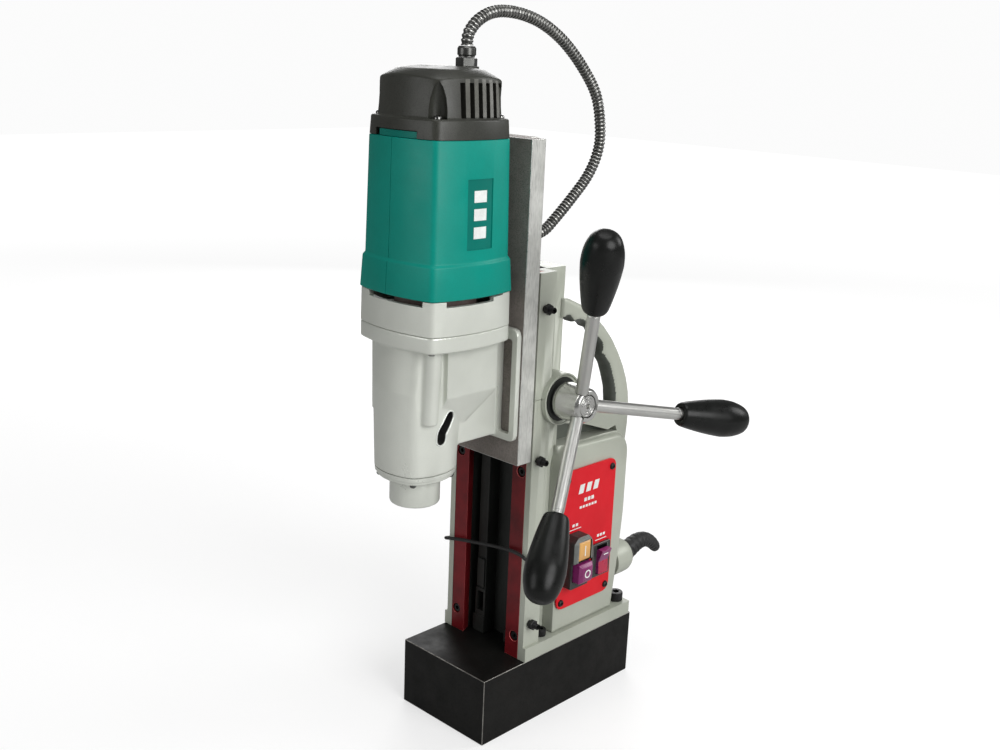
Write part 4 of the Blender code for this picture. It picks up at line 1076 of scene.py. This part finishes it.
def gearbox():
    top, low = span("gearbox_housing")[1].z, 240
    shelf = 339.2
    body = bowed_stack("gearbox_shown", [(39.2, shelf), (40.3, shelf + 0.8), (40.3, top)], *SHELL,
        "silver_paint", "silver_edge", "steel_dull", corner=FLANGE_CORNER)
    tube = loft("spindle_housing", [bowed(24.4, 4.8, shelf + 4, SPINDLE_Y + 2.6, corner=4),
        bowed(24.2, 5.6, 305, SPINDLE_Y, corner=4), bowed(22.8, 6, low, SPINDLE_Y, corner=4)])
    for sx in (-1, 1):                     # the front corners stop short at a ledge
        notch = [(sx * 24.2, -170), (sx * 24.2, -154.4), (sx * 26, -150), (sx * 40, -150),
            (sx * 40, -170)]
        cut(tube, prism("corner_cut", notch, "Z", 281, 345))
    gather(body, tube)
    shoulder = [(sx * x, y, z) for sx in (-1, 1) for x, y, z in (
        (34, -132, shelf + 3), (34, -77, shelf + 3), (25, -66.5, shelf + 3),
        (34, -132, 301), (34, -77, 301), (25, -66.5, 301),
        (24.2, -132, 282), (24.2, -103.5, 275.7), (24.1, -67.8, 299))]
    gather(body, hull("gear_shoulder", shoulder))
    for sx in (-1, 1):
        top_end, end = Vector((sx * 29.6, -142.6, shelf + 1.7)), Vector((sx * 27.4, -143.6, 282.3))
        length = (end - top_end).length
        gather(body, lathe("screw_boss", [(6.8, 0), (6.8, length - 0.8), (5.8, length)], top_end,
            end - top_end, sides=40))
    gather(body, block("rear_web", (-24, -120, 258.5), (24, -66.2, 300.5)),
        prism("mounting_plate", rounded(box_line(-44.4, 256, 44.4, 347), 6, 4, True),
            "Y", -69, -64.3))
    cast(body, 0.85, 2, 0.36)
    for sx in (-1, 1):
        x0, x1 = sorted((sx * 26, sx * 39))
        cut(body, prism("plate_window", rounded(box_line(x0, 262, x1, 338.5), 2.2, 3, True),
            "Y", -80, -60))
    cut(body, bore(SPINDLE_Y, 200, 254, 20.6), bore(SPINDLE_Y, 256, 330, 17.5),
        bore(SPINDLE_Y, 253, 257, 16.5),
        bowed_stack("gear_room", [(34.5, 360), (34.5, 340.4)], *SHELL, corner=6),
        bore(SPINDLE_Y, 325, 345, 16))
    line = [(-132, 268.2), (-131.4, 273.4), (-127.4, 279), (-123.6, 284.6)]
    outline = slot_outline(line, 4.4)
    # a thin raised line round the drift slot, coloured as a painted highlight on its edge
    rim = bead("drift_slot_rim", body, [(0, y, z) for y, z in slot_outline(line, 4.9)], X, 0.7,
        "silver_edge")
    cut(body, prism("drift_slot", outline, "X", 12, 50))
    # the drift slot's walls take the dark steel as painted shade
    refinish(body, 2, lambda middle, normal: abs(normal.x) < 0.5 and abs(middle.x) < 27
        and 262 < middle.z < 291 and -138 < middle.y < -117 and abs(middle.x) > 11)
    stand_for("gearbox_housing", "carriage", "silver_paint", body, rim)
    for sx, sy, corner in CORNERS:
        seat = Vector((sx * 33.6, MOTOR_Y + 29.6, shelf + 1))
        if sy < 0:
            seat = Vector((sx * 32.6, -147.2, shelf + 1))
        head = socket_screw(f"flange_screw_{corner}", seat, -Z, 2.7, 3.3, 1.4, "screw_bright")
        show("carriage", "screw_black", soften(head, 0.2))

    gap, cover_low = low - 0.3, span("gearbox_cover")[0].z
    cover = bowed_stack("gearbox_cover_shown", [(20.6, cover_low), (21.3, cover_low + 0.5),
        (21.4, cover_low + 2.7), (22.4, cover_low + 2.9), (22.6, gap)], 6, SPINDLE_Y,
        "silver_paint", "silver_edge", corner=4, soft=0.35)
    cut(cover, bore(SPINDLE_Y, 220, 250, 20.1))
    unite(cover, lathe("seal", [(15.5, 5.2), (20.3, 5.2), (20.3, 6.1), (15.5, 6.1)],
        (0, SPINDLE_Y, cover_low), Z, hollow=True))
    stand_for("gearbox_cover", "carriage", "silver_paint", soften(cover, 0.2))
    for sx, sy, corner in CORNERS:
        seat = Vector((sx * 19.3, SPINDLE_Y + sy * 19.3, cover_low + 0.4))
        dome = lathe(f"cover_screw_{corner}", [(2.7, 0), (2.7, 0.9), (2.3, 1.9), (1.5, 2.5),
            (0, 2.7)], seat, -Z, "screw_bright", sides=32)
        cut(dome, rod("socket", seat - Z * 1.6, seat - Z * 6, 0.9, sides=6))
        show("carriage", "screw_black", dome)


def spindle():
    nose = span("spindle")[0].z + 4
    body = lathe("spindle_shown", [(0, 350.6), (9.6, 350.6), (10, 350.2), (10, 340), (14.5, 340),
        (14.5, 232.6), (19.7, 232.6), (19.7, nose + 2.2), (19.2, nose + 0.8), (18, nose),
        (10.2, nose), (8.9, nose + 1.6), (7.4, 282), (0, 282)], (0, SPINDLE_Y, 0), Z,
        "silver_paint", "steel_dull", sides=64)
    cut(body, block("drift_slot", (-30, SPINDLE_Y - 3.2, 268), (30, SPINDLE_Y + 3.2, 291)))
    refinish(body, 1, lambda middle, normal: middle.z > 252)
    stand_for("spindle", "spindle", "silver_paint", soften(body, 0.3))


# ---- motor -------------------------------------------------------------------------------------
def motor_end_frame():
    low, high = span("motor_end_frame")
    body = bowed_stack("end_frame_shown", [(40.4, low.z), (40.1, high.z)], *SHELL, "silver_paint",
        "silver_edge", corner=FLANGE_CORNER)
    cut(body, bowed_stack("fan_room", [(36, high.z + 9), (36, 365)], *SHELL),
        bowed_stack("train_room", [(34.5, 361), (34.5, low.z - 9)], *SHELL),
        bore(MOTOR_Y, 350, 370, 5.2))
    sill = high.z - 4.2
    cut(body, block("vent", (-25.2, MOTOR_Y - 60, sill), (32, MOTOR_Y + 60, high.z + 5)),
        block("vent", (-60, -143.5, sill), (60, -98, high.z + 5)),
        block("thin_vent", (20, -99, high.z - 1.1), (60, -86, high.z + 5)))
    soften(body, 0.35)
    stand_for("motor_end_frame", "carriage", "silver_paint", body)

    fan = lathe("cooling_fan_shown", [(4.3, 367), (31.5, 367), (31.5, 368.6), (9, 368.6), (9, 376),
        (4.3, 376)], (0, MOTOR_Y, 0), Z, "fan_brown", hollow=True)
    for i in range(14):
        a = 2 * pi * i / 14
        blade = [(9, -0.55), (31.2, 2.2), (31.2, 3.3), (9, 0.55)]
        points = [(r * cos(a) - s * sin(a), MOTOR_Y + r * sin(a) + s * cos(a)) for r, s in blade]
        unite(fan, prism("blade", points, "Z", 368, 376.2))
    ring = lathe("fan_shroud", [(30.2, 367.2), (31.6, 367.2), (31.6, 376.4), (30.2, 376.4)],
        (0, MOTOR_Y, 0), Z, "fan_brown", hollow=True)
    stand_for("cooling_fan", "armature", "switch_black", fan, ring)


def wall_at(z):
    """Half the motor body's width, side to side, at a height."""
    return 38 - 1.2 * (z - 404.2) / 86.5


def motor_housing():
    low, high = span("motor_housing")
    top = high.z
    profile = [(34.6, top), (34.6, 404), (37, 400), (37.4, low.z), (40.5, low.z),
        (40.9, low.z + 0.5), (39.7, 402.2), (38.3, 404.2), (36.8, top)]
    body = bowed_stack("motor_housing_shown", profile, *SHELL, "teal_plastic", "teal_dark",
        corner=FLANGE_CORNER, soft=0.9, hollow=True)
    for seam in ([(-165, 404.3), (-158.55, 404.3), (-157.4, 491), (-165, 491)],
            [(-165, 377), (-161.45, 377), (-160.3, 402.4), (-165, 402.4)]):
        cut(body, prism("seam", seam, "X", -3.3, -2.9))
    label = ((0, -126, 413), (80, -100.5, 463.6))
    cut(body, shell_patch("label_recess", wall_at, (-0.45, 2), *label))
    stand_for("motor_housing", "carriage", "teal_plastic", body)
    plate = shell_patch("label_plate", wall_at, (-1.2, -0.4), *label, "teal_dark")
    show("carriage", "teal_plastic", plate)
    for i in range(3):                     # the same plain three bars, standing up the side
        z = 421 + 13 * i
        bar = shell_patch(f"label_bar_{i + 1}", wall_at, (-0.6, -0.25), (0, -119.5, z),
            (80, -107, z + 8.4), "print_white")
        show("carriage", "teal_plastic", bar)


def top_cap():
    low, high = span("top_cap")
    body = bowed_stack("top_cap_shown", [(36.8, low.z), (36.1, 504.4), (33.9, 505.3), (31.6, 534.4),
        (22, 538.5), (10, 540.6), (5, high.z)], *SHELL, "cap_plastic", "cap_rib", corner=4.6,
        soft=1.1)
    for vert in body.data.vertices:        # the crown's corners droop a little
        arm = Vector((vert.co.x, vert.co.y - MOTOR_Y * MM)).length / MM
        if vert.co.z > 0.512:
            vert.co.z -= 3 * MM * max(0, min(1, (arm - 36) / 9))
    unite(body, lathe("gland_boss", [(9.4, 525), (9.4, 540.4), (8.8, high.z)],
        (0, centre("conduit_gland_upper").y, 0), Z))
    cut(body, bowed_stack("cap_room", [(33.4, low.z - 1), (33, 500), (25, 504), (25, 533)], *SHELL,
        corner=9))
    for sx, sy, corner in CORNERS:
        foot = (sx * 31.4, MOTOR_Y + sy * 31.4, 505)
        cut(body, lathe("screw_pocket", [(6.7, 0), (6.5, 7.5), (5.6, 14.5), (3.4, 21.5), (0, 26.5)],
            foot, Z, sides=40))
    for sx in (-1, 1):
        for i in range(6):
            y = -128.5 + 8 * i
            x0, x1 = sorted((sx * 23, sx * 50))
            cut(body, block("vent", (x0, y - 2.1, 505.6), (x1, y + 2.1, 529.8)))
    cut(body, block("notch", (-24, -170, low.z - 1), (21, MOTOR_Y - 39.6, 496.3)),
        block("notch_end", (-24, -170, low.z - 1), (-19.5, MOTOR_Y - 35, 496.3)))

    def on_rib(middle, normal):
        return (abs(normal.x) > 0.75 and 506.5 < middle.z < 529 and abs(middle.x) > 30
            and -127 < middle.y < -90)

    # the rib faces between the vents take the lighter painted highlight
    refinish(body, 1, on_rib)
    soften(body, 0.5, angle=36)
    stand_for("top_cap", "carriage", "cap_plastic", body)
    tab = shell_patch("cap_tab", lambda z: 36.2, (-1.5, 0), (-19, -170, low.z + 0.1),
        (20.4, -140, 495.6), "teal_dark")
    show("carriage", "teal_plastic", tab)
    for sx, sy, corner in CORNERS:
        seat = Vector((sx * 31, MOTOR_Y + sy * 31, 504.9))
        head = lathe(f"cap_screw_{corner}", [(2.9, 0), (2.9, 1.2), (2.3, 2.2), (1.3, 2.6),
            (0, 2.7)], seat, Z, "screw_bright", sides=32)
        cut(head, block("cross", seat + Vector((-2, -0.3, 1.8)), seat + Vector((2, 0.3, 5))),
            block("cross", seat + Vector((-0.3, -2, 1.8)), seat + Vector((0.3, 2, 5))))
        show("carriage", "screw_black", head)


# ---- everything else keeps the frame's own shape -----------------------------------------------
def finish_rest():
    """Nodes seen little or not at all keep the frame's shape, with finishes."""
    chosen = {"feed_rack": "steel_dull", "pinion_shaft": "steel", "pinion_bush": "casting_dark",
        "shaft_bearing": "steel", "spindle_bearing": "steel", "stator": "slide_front",
        "brush_left": "carbon", "brush_right": "carbon", "armature": "steel_dull",
        "intermediate_gear": "steel_dull", "spindle_gear": "steel_dull",
        "control_board": "board_green"}
    for node, finish in chosen.items():
        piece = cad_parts[node]
        piece.data.materials.clear()
        piece.data.materials.append(FINISH[finish])


camera()
stage()
conduit()
gland("conduit_gland_upper", "carriage")
gland("conduit_gland_lower", "stand")
tie_cord()
magnet()
column()
gib_strips()
set_screws()
flange_bolts()
rear_housing()
outlet()
panel()
motor_switch()
magnet_switch()
feed_handle()
slide_plate()
gearbox()
spindle()
motor_end_frame()
motor_housing()
top_cap()
finish_rest()
